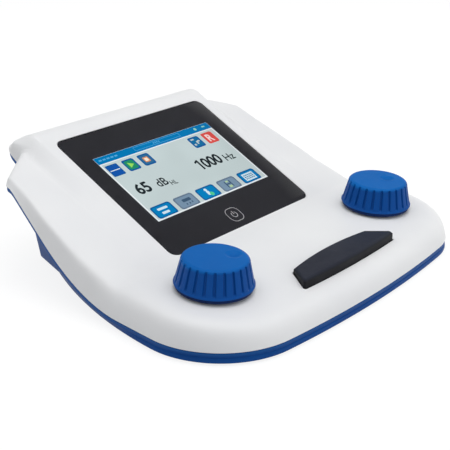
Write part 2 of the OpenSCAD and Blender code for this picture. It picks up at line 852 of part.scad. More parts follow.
// connectors for the ribbons: distance in from the board's edge, length, height
plug_in = 5;
plug_l = 5;
plug_h = 2.5;
plug_rim = 6;
io_ribbon_x = 0;
io_ribbon_w = 14;
io_ribbon_in = 8;
control_ribbon_w = 14;
module main_board() {
  color(board_green)
    on_panel()
      translate([0, lit_up, main_board_z])
        difference() {
          union() {
            block(main_board_w, main_board_l, board_t);
            translate([-20, 8, board_t]) block(26, 26, 1.6);
            translate([26, -12, board_t]) block(14, 14, 1.4);
            translate([30, 16, board_t]) block(10, 20, 1.8);
            translate([0, main_board_l / 2 - plug_in, board_t])
              block(display_ribbon_w + plug_rim, plug_l, 2.2);
            translate([0, -main_board_l / 2 + plug_in, -plug_h])
              block(control_ribbon_w + plug_rim, plug_l, plug_h);
            translate([io_ribbon_x, main_board_l / 2 - plug_in, -plug_h])
              block(io_ribbon_w + plug_rim, plug_l, plug_h);
          }
          for (x = [-1, 1])
            translate([x * main_hole_x, frame_hole_y, -1]) cylinder(4, r = small_hole_r, $fn = 32);
        }
}
// two long screws with their spacers carry the main board on the display frame's upper holes
module main_board_screws() {
  color(steel)
    on_panel()
      for (x = [-1, 1])
        translate([x * main_hole_x, lit_up + frame_hole_y, 0]) {
          translate([0, 0, main_board_z - bond_gap])
            rotate([180, 0, 0])
              pan_screw(small_screw_r, frame_z + frame_t - main_board_z + 2.5, small_head_r, small_head_h);
          translate([0, 0, main_board_z + board_t + bond_gap])
            tube(standoff_r, small_screw_r, frame_z - main_board_z - board_t - 2 * bond_gap);
        }
}

// ---- dials ----
knob_base_d = 34.8;
flange_z = 1.1;
flange_top = 2.2;
knob_rim = 0.6;
round_r = 1.6;
cavity_r = 9.5;
cavity_h = 4.1;
groove_w = 1.3;
groove_depth = 0.8;
knob_taper = atan((knob_d / 2 - knob_rim - knob_top_d / 2 - 0.2 * round_r) / (knob_h - round_r - flange_top));
dimple_r = 5;
dimple_depth = 0.9;
shaft_r = shaft_d / 2;
shaft_top = knob_lift + 11;
flat_depth = 1.5;

function knob_profile() =
  let (r = knob_top_d / 2, body_r = knob_d / 2 - knob_rim)
  concat(
    [[0, 0], [knob_base_d / 2, 0], [knob_d / 2, flange_z], [knob_d / 2 - 0.1, flange_z + 0.7],
     [body_r, flange_top]],
    [for (i = [0 : 5])
      let (a = 90 * i / 5) [r + round_r * (cos(a) - 0.8), knob_h + round_r * (sin(a) - 1)]],
    [[0, knob_h]]
  );
module knob(dimple_x) {
  difference() {
    rotate_extrude($fn = 96) polygon(knob_profile());
    for (i = [0 : knob_grooves - 1])
      rotate([0, 0, (i + 0.5) * 360 / knob_grooves])
        translate([knob_d / 2 - knob_rim - groove_depth, -groove_w / 2, flange_top + 0.5])
          rotate([0, -knob_taper, 0]) cube([4, groove_w, knob_h - flange_top - round_r - 1]);
    translate([0, 0, -1]) cylinder(cavity_h + 1, r = cavity_r, $fn = 64);
    translate([0, 0, -1])
      difference() {
        cylinder(shaft_top - knob_lift + 1 + seat_gap, r = shaft_r + 0.02, $fn = 64);
        translate([shaft_r - flat_depth + 0.02, -5, 0]) cube([10, 10, 40]);
      }
    translate([dimple_x, 0, knob_h - dimple_depth + dimple_r * 1.6 + 0.45])
      sphere(dimple_r * 1.6 + 0.45, $fn = 64);
  }
}
module left_knob() {
  color(dial_blue) on_deck(-knob_x) translate([0, 0, knob_lift]) rotate([0, 0, -28]) knob(9.3);
}
module right_knob() {
  color(dial_blue) on_deck(knob_x) translate([0, 0, knob_lift]) rotate([0, 0, -28]) knob(6);
}

// ---- encoders ----
encoder_top = -2.5 - seat_gap - 0.2;
encoder_h = 6.3;
encoder_w = 14;
bush_top = 3.6;
shaft_foot = encoder_top - encoder_h + 1.2;
nut_t = 2;
washer_r = 7.5;
washer_t = 0.7;
washer_z = -spot_depth + bond_gap;
nut_z = washer_z + washer_t + bond_gap;
module encoder_shaft() {
  difference() {
    translate([0, 0, shaft_foot]) cylinder(shaft_top - shaft_foot, r = shaft_r, $fn = 64);
    rotate([0, 0, -28])
      translate([shaft_r - flat_depth, -5, bush_top + 1]) cube([10, 10, 40]);
  }
}
module encoder_body() {
  difference() {
    union() {
      translate([0, 0, encoder_top - encoder_h]) block(encoder_w, encoder_w, encoder_h);
      translate([0, 0, encoder_top]) cylinder(bush_top - encoder_top, r = bush_r, $fn = 64);
    }
    translate([0, 0, shaft_foot - 0.3]) cylinder(40, r = shaft_r + run_gap, $fn = 64);
  }
}
module left_encoder_shaft() { color(steel) on_deck(-knob_x) encoder_shaft(); }
module right_encoder_shaft() { color(steel) on_deck(knob_x) encoder_shaft(); }
module left_encoder_body() { color(steel) on_deck(-knob_x) encoder_body(); }
module right_encoder_body() { color(steel) on_deck(knob_x) encoder_body(); }
module encoder_washers() {
  color(steel)
    for (side = [-1, 1])
      on_deck(side * knob_x) translate([0, 0, washer_z]) tube(washer_r, bush_r + 0.1, washer_t);
}
module encoder_nuts() {
  color(steel)
    for (side = [-1, 1])
      on_deck(side * knob_x)
        translate([0, 0, nut_z])
          difference() {
            cylinder(nut_t, r = 6.9, $fn = 6);
            translate([0, 0, -1]) cylinder(nut_t + 2, r = bush_r + 0.03, $fn = 64);
          }
}

// ---- control board and presenter key ----
board_half_w = 84;
board_front_x = 56;
board_bevel = 22;
control_plug_in = 4;
control_plug_h = 3;
post_x = 28;
post_y = -24;
post_r = 2;
spring_r = 3.1;
spring_wire_r = 0.25;
spring_turns = 3;
key_body_low = key_flange_z - key_flange_t;
key_flange_out = 1.8;
key_wall = 2.2;
key_roof_t = 2;
plunger_r = 2;
spring_pad_r = 4;
post_root = 0.5;
sliver = 0.01;

module control_board() {
  color(board_green)
    on_deck()
      translate([0, 0, control_board_top - board_t])
        difference() {
          union() {
            linear_extrude(board_t)
              polygon([
                [-board_front_x, control_front], [board_front_x, control_front],
                [board_half_w, control_front + board_bevel], [board_half_w, control_rear],
                [-board_half_w, control_rear], [-board_half_w, control_front + board_bevel]
              ]);
            translate([0, control_rear - control_plug_in, board_t])
              block(control_ribbon_w + 4, plug_l, control_plug_h);
          }
          for (side = [-1, 1]) {
            translate([side * post_x, post_y, -1]) cylinder(4, r = post_r + slide_gap, $fn = 48);
            for (h = control_holes)
              translate([side * h[0], h[1], -1]) cylinder(4, r = small_hole_r, $fn = 32);
          }
        }
}
module control_board_screws() {
  color(steel)
    for (h = control_holes)
      for (side = [-1, 1])
        on_deck(side * h[0])
          translate([0, h[1], control_board_top + bond_gap])
            pan_screw(small_screw_r, board_t + 3.5, small_head_r, small_head_h);
}
spring_low = control_board_top + bond_gap;
spring_top = -5.6;
spring_h = spring_top - spring_low - bond_gap;
switch_top = control_board_top + 2;
plunger_low = switch_top + key_travel + bond_gap;
post_low = control_board_top - board_t - key_travel - 0.4;
// level in the deck's frame just inside the key's roof, where the posts end
key_roof = (key_top_h - key_roof_t + post_root - knob_deck_z) / cos(knob_tilt) - post_y * tan(knob_tilt);
module key_slice(z, t, grow) {
  translate([0, 0, z]) linear_extrude(t) polygon(key_outline(grow));
}
module presenter_key() {
  color(slate) {
    difference() {
      union() {
        key_slice(key_body_low, key_top_h - key_chamfer - key_body_low, 0);
        hull() {
          key_slice(key_top_h - key_chamfer - sliver, sliver, 0);
          key_slice(key_top_h - sliver, sliver, -key_chamfer);
        }
        key_slice(key_body_low, key_flange_t, key_flange_out);
      }
      // hollow underside
      key_slice(key_body_low - 1, key_top_h - key_roof_t - key_body_low + 1, -key_wall);
    }
    for (side = [-1, 1])
      on_deck(side * post_x) {
        translate([0, post_y, post_low]) cylinder(key_roof - post_low, r = post_r, $fn = 48);
        translate([0, post_y, spring_top]) cylinder(key_roof - spring_top, r = spring_pad_r, $fn = 48);
      }
    on_deck()
      translate([0, post_y, plunger_low]) cylinder(key_roof - plunger_low, r = plunger_r, $fn = 32);
  }
}

// round wire wound round the post, as one swept tube
function coil_point(t) =
  [spring_r * cos(360 * spring_turns * t), spring_r * sin(360 * spring_turns * t),
   spring_wire_r + (spring_h - 2 * spring_wire_r) * t];
module coil() {
  steps = spring_turns * 12;
  sides = 6;
  points = [
    for (i = [0 : steps])
      for (k = [0 : sides - 1])
        let (
          a = 360 * spring_turns * i / steps,
          c = coil_point(i / steps),
          out = [cos(a), sin(a), 0]
        )
        c + spring_wire_r * (out * cos(360 * k / sides) + [0, 0, sin(360 * k / sides)])
  ];
  polyhedron(
    points,
    concat(
      [[for (k = [0 : sides - 1]) k]],
      [for (i = [0 : steps - 1])
        for (k = [0 : sides - 1])
          let (m = (k + 1) % sides, a = i * sides, b = a + sides)
          each [[a + k, b + k, b + m], [a + k, b + m, a + m]]],
      [[for (k = [sides - 1 : -1 : 0]) steps * sides + k]]
    )
  );
}
module key_spring(side) {
  color(steel) on_deck(side * post_x) translate([0, post_y, spring_low]) coil();
}
module key_spring_left() { key_spring(-1); }
module key_spring_right() { key_spring(1); }
module key_switch() {
  color([0.15, 0.15, 0.16])
    on_deck()
      translate([0, post_y, control_board_top + bond_gap]) {
        block(6, 6, 1.5);
        translate([0, 0, 1.5]) cylinder(0.5 - bond_gap, r = 1.6, $fn = 32);
      }
}

// ---- rear sockets ----
panel_back = -rear_panel_t;
jack_bush_r = 4.9;
jack_len = 26;
jack_proud = 0.6;
jack_end_t = 4;
jack_body_w = 14;
jack_body_l = 12;
inlet_x = 16;
usb_x = -16;
usb_w = 9;
usb_half_h = 1.8;
usb_l = 12;
io_board_y = -jack_body_l / 2 - bond_gap - board_t;
io_board_w = rear_opening_w - 2 * seat_gap;
io_depth = 27;
module rear_panel() {
  color(glass_black)
    on_rear()
      difference() {
        translate([0, 0, panel_back + bond_gap])
          rounded_plate(rear_panel_w, rear_panel_l, rear_panel_r, rear_panel_t - bond_gap);
        for (x = jack_places)
          translate([x, 0, panel_back - 1]) cylinder(4, r = jack_bush_r + 0.1, $fn = 48);
        translate([inlet_x, 0, panel_back - 1]) cylinder(4, r = 4.2, $fn = 48);
        translate([usb_x, 0, panel_back - 1]) block(10.4, 5, 4);
        for (side = [-1, 1])
          translate([side * rear_screw_x, 0, panel_back - 1]) cylinder(4, r = 1.3, $fn = 24);
      }
}
jack_outer_x = jack_inner_x + jack_pitch;
jack_places = [-jack_outer_x, -jack_inner_x, jack_inner_x, jack_outer_x];
module jack(place) {
  color([0.12, 0.12, 0.13])
    on_rear()
      translate([jack_places[place], 0, 0])
        difference() {
          union() {
            translate([0, 0, panel_back - seat_gap - jack_len]) block(jack_body_w, jack_body_l, jack_len);
            translate([0, 0, panel_back - seat_gap])
              cylinder(rear_panel_t + seat_gap + jack_proud, r = jack_bush_r, $fn = 48);
          }
          translate([0, 0, panel_back - jack_len + jack_end_t]) cylinder(40, r = jack_bore_d / 2, $fn = 48);
        }
}
module left_phone_jack() { jack(3); }
module right_phone_jack() { jack(2); }
module bone_jack() { jack(1); }
module response_jack() { jack(0); }
module usb_socket() {
  color(steel)
    on_rear()
      translate([usb_x, 0, panel_back - usb_l])
        difference() {
          block(usb_w, 2 * usb_half_h, usb_l + rear_panel_t);
          translate([0, 0, 3]) block(usb_w - 0.8, 2 * usb_half_h - 0.8, 20);
        }
  color([0.12, 0.12, 0.13])
    on_rear()
      translate([usb_x, (-jack_body_l / 2 - usb_half_h) / 2, panel_back - usb_l])
        block(usb_w, jack_body_l / 2 - usb_half_h, usb_l - 2);
}
module power_inlet() {
  color([0.12, 0.12, 0.13])
    on_rear()
      translate([inlet_x, 0, 0]) {
        difference() {
          union() {
            translate([0, 0, panel_back - seat_gap - 13]) block(10, jack_body_l, 13);
            translate([0, 0, panel_back - seat_gap]) cylinder(rear_panel_t + seat_gap + 0.3, r = 4, $fn = 48);
          }
          translate([0, 0, panel_back - 9]) cylinder(40, r = 2.8, $fn = 48);
        }
        translate([0, 0, panel_back - 10]) cylinder(9, r = 1, $fn = 32);
      }
}
module io_board() {
  color(board_green)
    on_rear()
      translate([0, io_board_y + board_t / 2, panel_back - seat_gap - io_depth])
        difference() {
          translate([0, 0, io_depth / 2]) cube([io_board_w, board_t, io_depth], center = true);
          translate([0, 0, -1]) block(battery_w + 8, board_t + 2, io_depth - 13);
        }
}

// ---- battery, speaker, feet, fasteners ----
pack_z = floor_top + seat_gap;
module battery_pack() {
  color([0.20, 0.33, 0.55])
    translate([0, battery_y, pack_z]) rounded_plate(battery_w, battery_l, 3, battery_t);
}
module battery_contacts() {
  color([0.8, 0.68, 0.35])
    for (i = [-1, 0, 1])
      translate([i * 6, battery_y - battery_l / 2 - battery_gap / 2, floor_top + seat_gap])
        block(2.4, 0.35, bay_h + 2);
}
module battery_door() {
  color(blue)
    translate([0, battery_y, floor_z])
      difference() {
        union() {
          block(door_w, door_l, door_t - bond_gap);
          block(door_w - 5, door_l - 5, floor_top - floor_z);
        }
        translate([0, door_screw_y - battery_y, -1]) cylinder(6, r = 1.3, $fn = 32);
        translate([0, door_screw_y - battery_y, -1]) cylinder(2, r = 2.6, $fn = 32);
      }
}
module door_screw() {
  color(steel)
    translate([0, door_screw_y, floor_z + 1 - bond_gap])
      rotate([180, 0, 0]) pan_screw(small_screw_r, 1.4, small_head_r, 0.8);
}
module monitor_speaker() {
  color([0.16, 0.16, 0.17])
    translate([speaker_x, speaker_y, floor_top + seat_gap])
      difference() {
        union() {
          cylinder(3, r = speaker_r, $fn = 64);
          translate([0, 0, 3]) cylinder(speaker_t - 3, r = speaker_r * 0.6, $fn = 64);
        }
        translate([0, 0, -1]) cylinder(2.2, r1 = speaker_r - 2, r2 = speaker_r * 0.4, $fn = 64);
      }
}
module case_screws() {
  color(steel)
    at_case_points()
      translate([0, 0, floor_z + case_sink - bond_gap])
        rotate([180, 0, 0])
          pan_screw(
            case_screw_r, case_split[$point] + case_reach[$point] - floor_z - case_sink,
            case_head_r, case_head_h
          );
}
module foot(side, p) {
  color([0.2, 0.2, 0.22])
    translate([side * p[0], p[1], 0]) cylinder(floor_z + foot_sink - bond_gap, r = foot_d / 2, $fn = 48);
}
module foot_front_left() { foot(-1, foot_points[0]); }
module foot_front_right() { foot(1, foot_points[0]); }
module foot_rear_left() { foot(-1, foot_points[1]); }
module foot_rear_right() { foot(1, foot_points[1]); }

// ---- flat ribbons: a strip t thick along points in the Y-Z plane, w wide ----
ribbon_t = 0.3;
ribbon_room = 2;
function strip_side(points, d) = [
  for (i = [0 : len(points) - 1])
    let (
      a = points[max(i - 1, 0)],
      b = points[min(i + 1, len(points) - 1)],
      u = unit(b - a)
    )
    points[i] + [-u[1], u[0]] * d
];
module ribbon(x, w, points) {
  color([0.85, 0.85, 0.8])
    translate([x - w / 2, 0, 0])
      rotate([90, 0, 90])
        linear_extrude(w)
          polygon(concat(strip_side(points, ribbon_t / 2), reverse(strip_side(points, -ribbon_t / 2))));
}
// a point of the panel's frame as [y, z] in the case's frame
function panel_yz(v, z) =
  [glass_y + v * cos(panel_tilt) - z * sin(panel_tilt), glass_h + v * sin(panel_tilt) + z * cos(panel_tilt)];
function deck_yz(v, z) =
  [knob_y + v * cos(knob_tilt) - z * sin(knob_tilt), knob_deck_z + v * sin(knob_tilt) + z * cos(knob_tilt)];
function rear_yz(v, z) =
  [rear_wall_y + v * sin(rear_lean) + z * cos(rear_lean),
   rear_panel_z + v * cos(rear_lean) - z * sin(rear_lean)];

module display_ribbon() {
  edge = lit_up + main_board_l / 2 + seat_gap;
  ribbon(0, display_ribbon_w, [
    panel_yz(edge - 3, lcd_z - 0.5),
    panel_yz(edge + 1.5, lcd_z - 2.5),
    panel_yz(edge + 1.5, main_board_z + board_t + 2.5),
    panel_yz(edge + plug_l / 2 - plug_in, main_board_z + board_t + 1.2)
  ]);
}
// the control ribbon passes under the front corner of the ledge that carries the glass
module control_ribbon() {
  low = lit_up - main_board_l / 2;
  board_plug_z = control_board_top + control_plug_h + seat_gap + ribbon_t / 2;
  ribbon(0, control_ribbon_w, [
    deck_yz(control_rear - control_plug_in, board_plug_z),
    deck_yz(control_rear + 4, board_plug_z),
    panel_yz(-glass_l / 2 - ledge_end, ledge_z) - [0, ribbon_room],
    panel_yz(low - 4, main_board_z - 6),
    panel_yz(low + plug_in, main_board_z - plug_h - seat_gap - ribbon_t)
  ]);
}
module io_ribbon() {
  high = lit_up + main_board_l / 2 - plug_in;
  ribbon(io_ribbon_x, io_ribbon_w, [
    panel_yz(high - 1, main_board_z - plug_h - seat_gap - ribbon_t),
    panel_yz(high + 1, main_board_z - 8),
    rear_yz(io_board_y + board_t + 9, panel_back - io_ribbon_in - 4),
    rear_yz(io_board_y + board_t + 0.5, panel_back - io_ribbon_in)
  ]);
}

top_shell();
bottom_shell();
cover_glass();
bezel_mask();
touch_sensor();
glass_tape();
lcd_module();
lcd_frame();
lcd_frame_screws();
left_knob();
right_knob();
left_encoder_shaft();
right_encoder_shaft();
left_encoder_body();
right_encoder_body();
encoder_washers();
encoder_nuts();
control_board();
control_board_screws();
presenter_key();
key_spring_left();
key_spring_right();
key_switch();
main_board();
main_board_screws();
display_ribbon();
control_ribbon();
io_ribbon();
io_board();
rear_panel();
left_phone_jack();
right_phone_jack();
bone_jack();
response_jack();
usb_socket();
power_inlet();
battery_pack();
battery_contacts();
battery_door();
door_screw();
monitor_speaker();
case_screws();
foot_front_left();
foot_front_right();
foot_rear_left();
foot_rear_right();
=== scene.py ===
import json
import math

import bmesh
import bpy
import numpy as np
from mathutils import Matrix, Vector


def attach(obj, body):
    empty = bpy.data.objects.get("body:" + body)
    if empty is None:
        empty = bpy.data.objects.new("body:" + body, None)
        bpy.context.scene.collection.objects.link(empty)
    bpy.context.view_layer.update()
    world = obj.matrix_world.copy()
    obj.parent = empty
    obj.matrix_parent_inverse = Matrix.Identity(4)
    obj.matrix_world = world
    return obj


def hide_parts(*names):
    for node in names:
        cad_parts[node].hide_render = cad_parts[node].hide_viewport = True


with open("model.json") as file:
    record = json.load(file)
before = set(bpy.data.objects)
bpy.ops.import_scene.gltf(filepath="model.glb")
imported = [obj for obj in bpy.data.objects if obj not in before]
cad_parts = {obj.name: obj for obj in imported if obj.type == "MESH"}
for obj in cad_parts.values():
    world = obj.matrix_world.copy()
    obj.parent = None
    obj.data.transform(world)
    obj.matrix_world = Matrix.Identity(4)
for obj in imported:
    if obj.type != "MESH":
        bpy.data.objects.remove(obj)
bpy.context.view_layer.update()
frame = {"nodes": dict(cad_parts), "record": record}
NODES = frame["nodes"]
MM = 0.001


# ---------------------------------------------------------------- the case's surface (mm)
# Most sizes are those of the solids. The wings' sweep and slope, the rear lip's height and run, the
# hollow beside the head and the rounding of the edges differ a little, to follow the photo closer.
CASE_D, BOW_R, CORNER_R, CORNER_X = 196.4, 660.0, 45.0, 66.7
SIDE_TAPER, WING_SWEEP, WING_SETBACK = math.radians(7.07), math.radians(32), 26.9
HEAD_W, HEAD_TOP_W = 149.4, 128.0
DECK_H, DECK_CREST, DECK_CROWN_R = 21.6, 77.2, 460.0
PANEL_TILT, WING_TILT, GLASS_H, GLASS_BACK = math.radians(27), math.radians(23.4), 43.9, 128.7
LIP_FRONT_H, LIP_WING_H, LIP_REAR_H, SOLID_LIP_REAR_H = 5.8, 51.3, 62.4, 60.4
TOP_WALL, BASE_WALL, EDGE_ROUND = 2.5, 2.5, 12.0
REVEAL, SEAM_GAP, BASE_TUCK, BASE_SETBACK = 0.4, 0.3, 0.0021, 14.2
TIP_R, HOLLOW_R, HEAD_CORNER_R = 4.5, 4.0, 6.5
CROWN_RADII = [2.0, 0.6, 6.0]  # the same three corners, where the skirt runs into the top face
BASE_CORNER_R, BASE_CORNER_X, BASE_BOX_L = 10.0, 68.5, 15.0
ROUND_REAR, ROUND_WING, ROUND_HEAD = 14.0, 9.5, 4.0
# The skirt is a rational quadratic curve from the lip to the top face: how far in its middle point
# lies, as a share of the way, and that point's weight.
SOFT = {
    "front": (0.2, 1.2), "corner": (0.02, 1.35), "side": (0.22, 4.5), "wing": (0.1, 2.5),
    "head": (0.1, 1.8), "rear": (0.1, 1.0),
}
# the same two numbers along the side, after the share of the way from front corner to wing tip
SOFT_SIDE = [
    (0.0, 0.02, 1.35), (0.25, 0.0, 1.2), (0.34, 0.0, 1.8), (0.45, 0.0, 3.2), (0.6, 0.0, 4.3),
    (0.77, 0.07, 4.4), (0.88, 0.2, 4.5), (1.0, 0.22, 4.5),
]
REAR_BOW, CREST_BACK, CREST_DROP, CAMBER, CAMBER_RUN, BLEND = 1.5, 177.2, 0.05, 0.0034, 25.0, 1.5
LIP_RISE_BACK, LIP_STRAIGHT_BACK, LIP_SIDE_SLOPE = 78.7, 139.3, 0.8
LIP_WING_SLOPE, LIP_HEAD_START, HEAD_FLARE = 0.2, 11.0, 0.06
FLOOR_Z, BASE_EDGE_R, RIM_H, RIM_STEP, TUB_IN, TUB_UP = 0.8, 0.6, 2.2, 0.2, 0.35, 0.75
FOOT_TUCK, LIP_CHAMFER = 0.35, 0.3

# how finely the outline and the skirt are cut up
BOW_N, CORNER_N, ARC_N, WING_N, HEAD_N, REAR_N, SKIRT_N = 26, 30, 12, 14, 18, 20, 18
INNER_N = 4

FRONT_Y, REAR_Y = -CASE_D / 2, CASE_D / 2
GLASS_Y = FRONT_Y + GLASS_BACK
PANEL_SLOPE, WING_SLOPE = math.tan(PANEL_TILT), math.tan(WING_TILT)
CREST_Y = FRONT_Y + DECK_CREST
KINK_Y = GLASS_Y - (GLASS_H - DECK_H) / PANEL_SLOPE
FOOT_HALF = HEAD_W / 2
BOW_CY = FRONT_Y + BOW_R
BOW_A = math.asin(CORNER_X / (BOW_R - CORNER_R))
CORNER_Y = BOW_CY - (BOW_R - CORNER_R) * math.cos(BOW_A)
SIDE_DIR = np.array([-math.sin(SIDE_TAPER), math.cos(SIDE_TAPER)])
SIDE_IN = np.array([-math.cos(SIDE_TAPER), -math.sin(SIDE_TAPER)])
WING_DIR = np.array([-math.cos(WING_SWEEP), math.sin(WING_SWEEP)])
WING_IN = np.array([-math.sin(WING_SWEEP), -math.cos(WING_SWEEP)])
SIDE_START = np.array([CORNER_X, CORNER_Y]) - SIDE_IN * CORNER_R
WING_TIP_Y = REAR_Y - WING_SETBACK
WING_TIP = SIDE_START + SIDE_DIR * (WING_TIP_Y - SIDE_START[1]) / SIDE_DIR[1]
BASE_REAR_Y = REAR_Y - BASE_SETBACK
KINK_SHARE = (KINK_Y - SIDE_START[1]) / (WING_TIP_Y - SIDE_START[1])
SIDE_SHARES = np.concatenate([
    np.linspace(0, KINK_SHARE - 0.06, 22)[1:],
    np.linspace(KINK_SHARE - 0.06, KINK_SHARE + 0.06, 21)[1:],
    np.linspace(KINK_SHARE + 0.06, 1, 38)[1:-1],
])


def meet(p, u, q, v):
    cross = lambda a, b: a[0] * b[1] - a[1] * b[0]
    return p + u * cross(q - p, v) / cross(u, v)


def round_corner(a, b, c, r, steps):
    da = (a - b) / np.linalg.norm(a - b)
    dc = (c - b) / np.linalg.norm(c - b)
    half = math.acos(float(da @ dc)) / 2
    mid = b + (da + dc) / np.linalg.norm(da + dc) * r / math.sin(half)
    p0, p1 = b + da * r / math.tan(half) - mid, b + dc * r / math.tan(half) - mid
    a0 = math.atan2(p0[1], p0[0])
    turn = (math.atan2(p1[1], p1[0]) - a0 + 3 * math.pi) % (2 * math.pi) - math.pi
    t = a0 + turn * np.arange(steps + 1) / steps
    return mid + r * np.stack([np.cos(t), np.sin(t)], 1)


def front_part(d):
    a = BOW_A * (np.arange(BOW_N) + 0.5) / BOW_N
    bow = np.stack([(BOW_R - d) * np.sin(a), BOW_CY - (BOW_R - d) * np.cos(a)], 1)
    b = np.linspace(BOW_A - math.pi / 2, SIDE_TAPER, CORNER_N + 1)
    corner = np.array([CORNER_X, CORNER_Y]) + (CORNER_R - d) * np.stack([np.cos(b), np.sin(b)], 1)
    return np.concatenate([bow, corner])


def half_outline(d, dw, dp, dr, radii, bow=0.0):
    s = SIDE_START + SIDE_IN * d
    head_x, back_y = FOOT_HALF - dp, REAR_Y - dr
    w = meet(s, SIDE_DIR, WING_TIP + WING_IN * dw, WING_DIR)
    j = meet(WING_TIP + WING_IN * dw, WING_DIR, np.array([head_x, 0.0]), np.array([0.0, 1.0]))
    q = np.array([head_x, back_y])
    tip = round_corner(s, w, j, radii[0], ARC_N)
    hollow = round_corner(w, j, q, radii[1], ARC_N)
    head = round_corner(j, q, np.array([0.0, back_y]), radii[2], HEAD_N)
    side = s + (tip[0] - s) * SIDE_SHARES[:, None]
    wing = tip[-1] + (hollow[0] - tip[-1]) * (np.arange(1, WING_N + 1) / (WING_N + 1))[:, None]
    x = head[-1][0] * (1 - np.arange(1, REAR_N + 1) / (REAR_N + 0.5))
    rear = np.stack([x, back_y + bow * (1 - (x / head[-1][0]) ** 2)], 1)
    return np.concatenate([front_part(d), side, tip, wing, hollow, head, rear])


def half_base(d):
    end_y = WING_TIP_Y - BASE_BOX_L
    side_x = lambda y: (SIDE_START[0] - (y - SIDE_START[1]) * math.tan(SIDE_TAPER) - d
                        - BASE_TUCK * np.maximum(y - SIDE_START[1], 0) ** 2)
    back_y = BASE_REAR_Y - d
    n = 2 * (ARC_N + 1) + HEAD_N + WING_N
    arc = round_corner(np.array([side_x(end_y), end_y]), np.array([BASE_CORNER_X - d, back_y]),
                       np.array([0.0, back_y]), BASE_CORNER_R - d, n)
    y = SIDE_START[1] + (end_y - SIDE_START[1]) * SIDE_SHARES
    x = arc[-1][0] * (1 - np.arange(1, REAR_N + 1) / (REAR_N + 0.5))
    return np.concatenate([front_part(d), np.stack([side_x(y), y], 1), arc,
                           np.stack([x, np.full_like(x, back_y)], 1)])


def top_z(x, y):
    x, y = np.abs(x), np.asarray(y, float)
    deck = DECK_H - (y - CREST_Y) ** 2 / (2 * DECK_CROWN_R)
    panel = (GLASS_H + (y - GLASS_Y) * PANEL_SLOPE
             - CREST_DROP * np.maximum(y - FRONT_Y - CREST_BACK, 0) ** 2)
    wing = DECK_H + (y - KINK_Y) * WING_SLOPE
    shoulder = HEAD_TOP_W / 2 + HEAD_FLARE * np.maximum(y - GLASS_Y, 0)
    u = np.clip((x - shoulder) / (FOOT_HALF - shoulder), 0, 1)
    share = u + (u * u * (3 - 2 * u) - u) * 0.2
    slope = panel + (np.minimum(panel, wing) - panel) * share
    out = np.maximum(x - FOOT_HALF, 0)
    joint = np.maximum(BLEND - np.abs(deck - slope), 0) ** 2 / (4 * BLEND)
    joined = np.maximum(deck, slope) + joint
    return joined - CAMBER * out * out * np.clip((y - KINK_Y) / CAMBER_RUN, 0, 1)


def lip_z(y):
    rise, straight = FRONT_Y + LIP_RISE_BACK, FRONT_Y + LIP_STRAIGHT_BACK
    head_y = REAR_Y - LIP_HEAD_START
    curve = LIP_SIDE_SLOPE / (2 * (straight - rise))
    side = (LIP_FRONT_H + curve * (np.clip(y, rise, straight) - rise) ** 2
            + LIP_SIDE_SLOPE * np.maximum(y - straight, 0))
    head_z = LIP_WING_H + LIP_WING_SLOPE * (head_y - WING_TIP_Y)
    back = (LIP_WING_H + LIP_WING_SLOPE * (np.minimum(y, head_y) - WING_TIP_Y)
            + (LIP_REAR_H - head_z) * np.maximum(y - head_y, 0) / LIP_HEAD_START)
    return np.minimum(side, back)


def ring(half):
    return np.concatenate([half, half[::-1] * np.array([-1.0, 1.0])])


def soft_pairs():
    def blend(a, b, t):
        return np.array(SOFT[a]) + (np.array(SOFT[b]) - np.array(SOFT[a])) * np.asarray(t)[:, None]
    share, lean, pull = np.array(SOFT_SIDE).T
    half = np.concatenate([
        blend("front", "front", np.zeros(BOW_N)),
        blend("front", "corner", np.arange(CORNER_N + 1) / CORNER_N),
        np.column_stack([np.interp(SIDE_SHARES, share, lean), np.interp(SIDE_SHARES, share, pull)]),
        blend("side", "wing", np.arange(ARC_N + 1) / ARC_N),
        blend("wing", "wing", np.zeros(WING_N)),
        blend("wing", "head", np.arange(ARC_N + 1) / ARC_N),
        blend("head", "rear", (np.arange(HEAD_N + 1) / HEAD_N) ** 2),
        blend("rear", "rear", np.zeros(REAR_N)),
    ])
    return np.concatenate([half, half[::-1]])


def skirt_ring(low, high, drop, lift, t):
    soft = soft_pairs()
    mid = 2 * soft[:, 1] * t * (1 - t)
    whole = (1 - t) ** 2 + mid + t * t
    p = low + (high - low) * ((mid * soft[:, 0] + t * t) / whole)[:, None]
    base = lip_z(low[:, 1]) + lift
    fall = (top_z(low[:, 0], low[:, 1]) - drop - base) * (1 - t) ** 2 / whole
    return np.column_stack([p, top_z(p[:, 0], p[:, 1]) - drop - fall])


# ---------------------------------------------------------------- mesh helpers
def add_object(name, data):
    obj = bpy.data.objects.new(name, data)
    bpy.context.scene.collection.objects.link(obj)
    return obj


def new_object(name, verts, faces, sharp=35.0):
    """verts in mm, faces as index tuples; smooth but for edges of more than sharp degrees."""
    me = bpy.data.meshes.new(name)
    me.from_pydata([tuple(float(c) * MM for c in v) for v in verts], [],
                   [tuple(int(i) for i in f) for f in faces])
    bm = bmesh.new()
    bm.from_mesh(me)
    bmesh.ops.remove_doubles(bm, verts=bm.verts, dist=1e-6)
    bmesh.ops.recalc_face_normals(bm, faces=bm.faces)
    bm.to_mesh(me)
    bm.free()
    obj = add_object(name, me)
    shade(obj, sharp)
    return obj


def shade(obj, sharp):
    me = obj.data
    me.polygons.foreach_set("use_smooth", [True] * len(me.polygons))
    me.set_sharp_from_angle(angle=math.radians(sharp))
    me.update()


def even_normals(obj):
    """Large flat faces keep their own direction, so a fillet beside them doesn't shade them."""
    mod = obj.modifiers.new("normals", "WEIGHTED_NORMAL")
    mod.keep_sharp, mod.weight = True, 60
    apply_modifiers(obj)


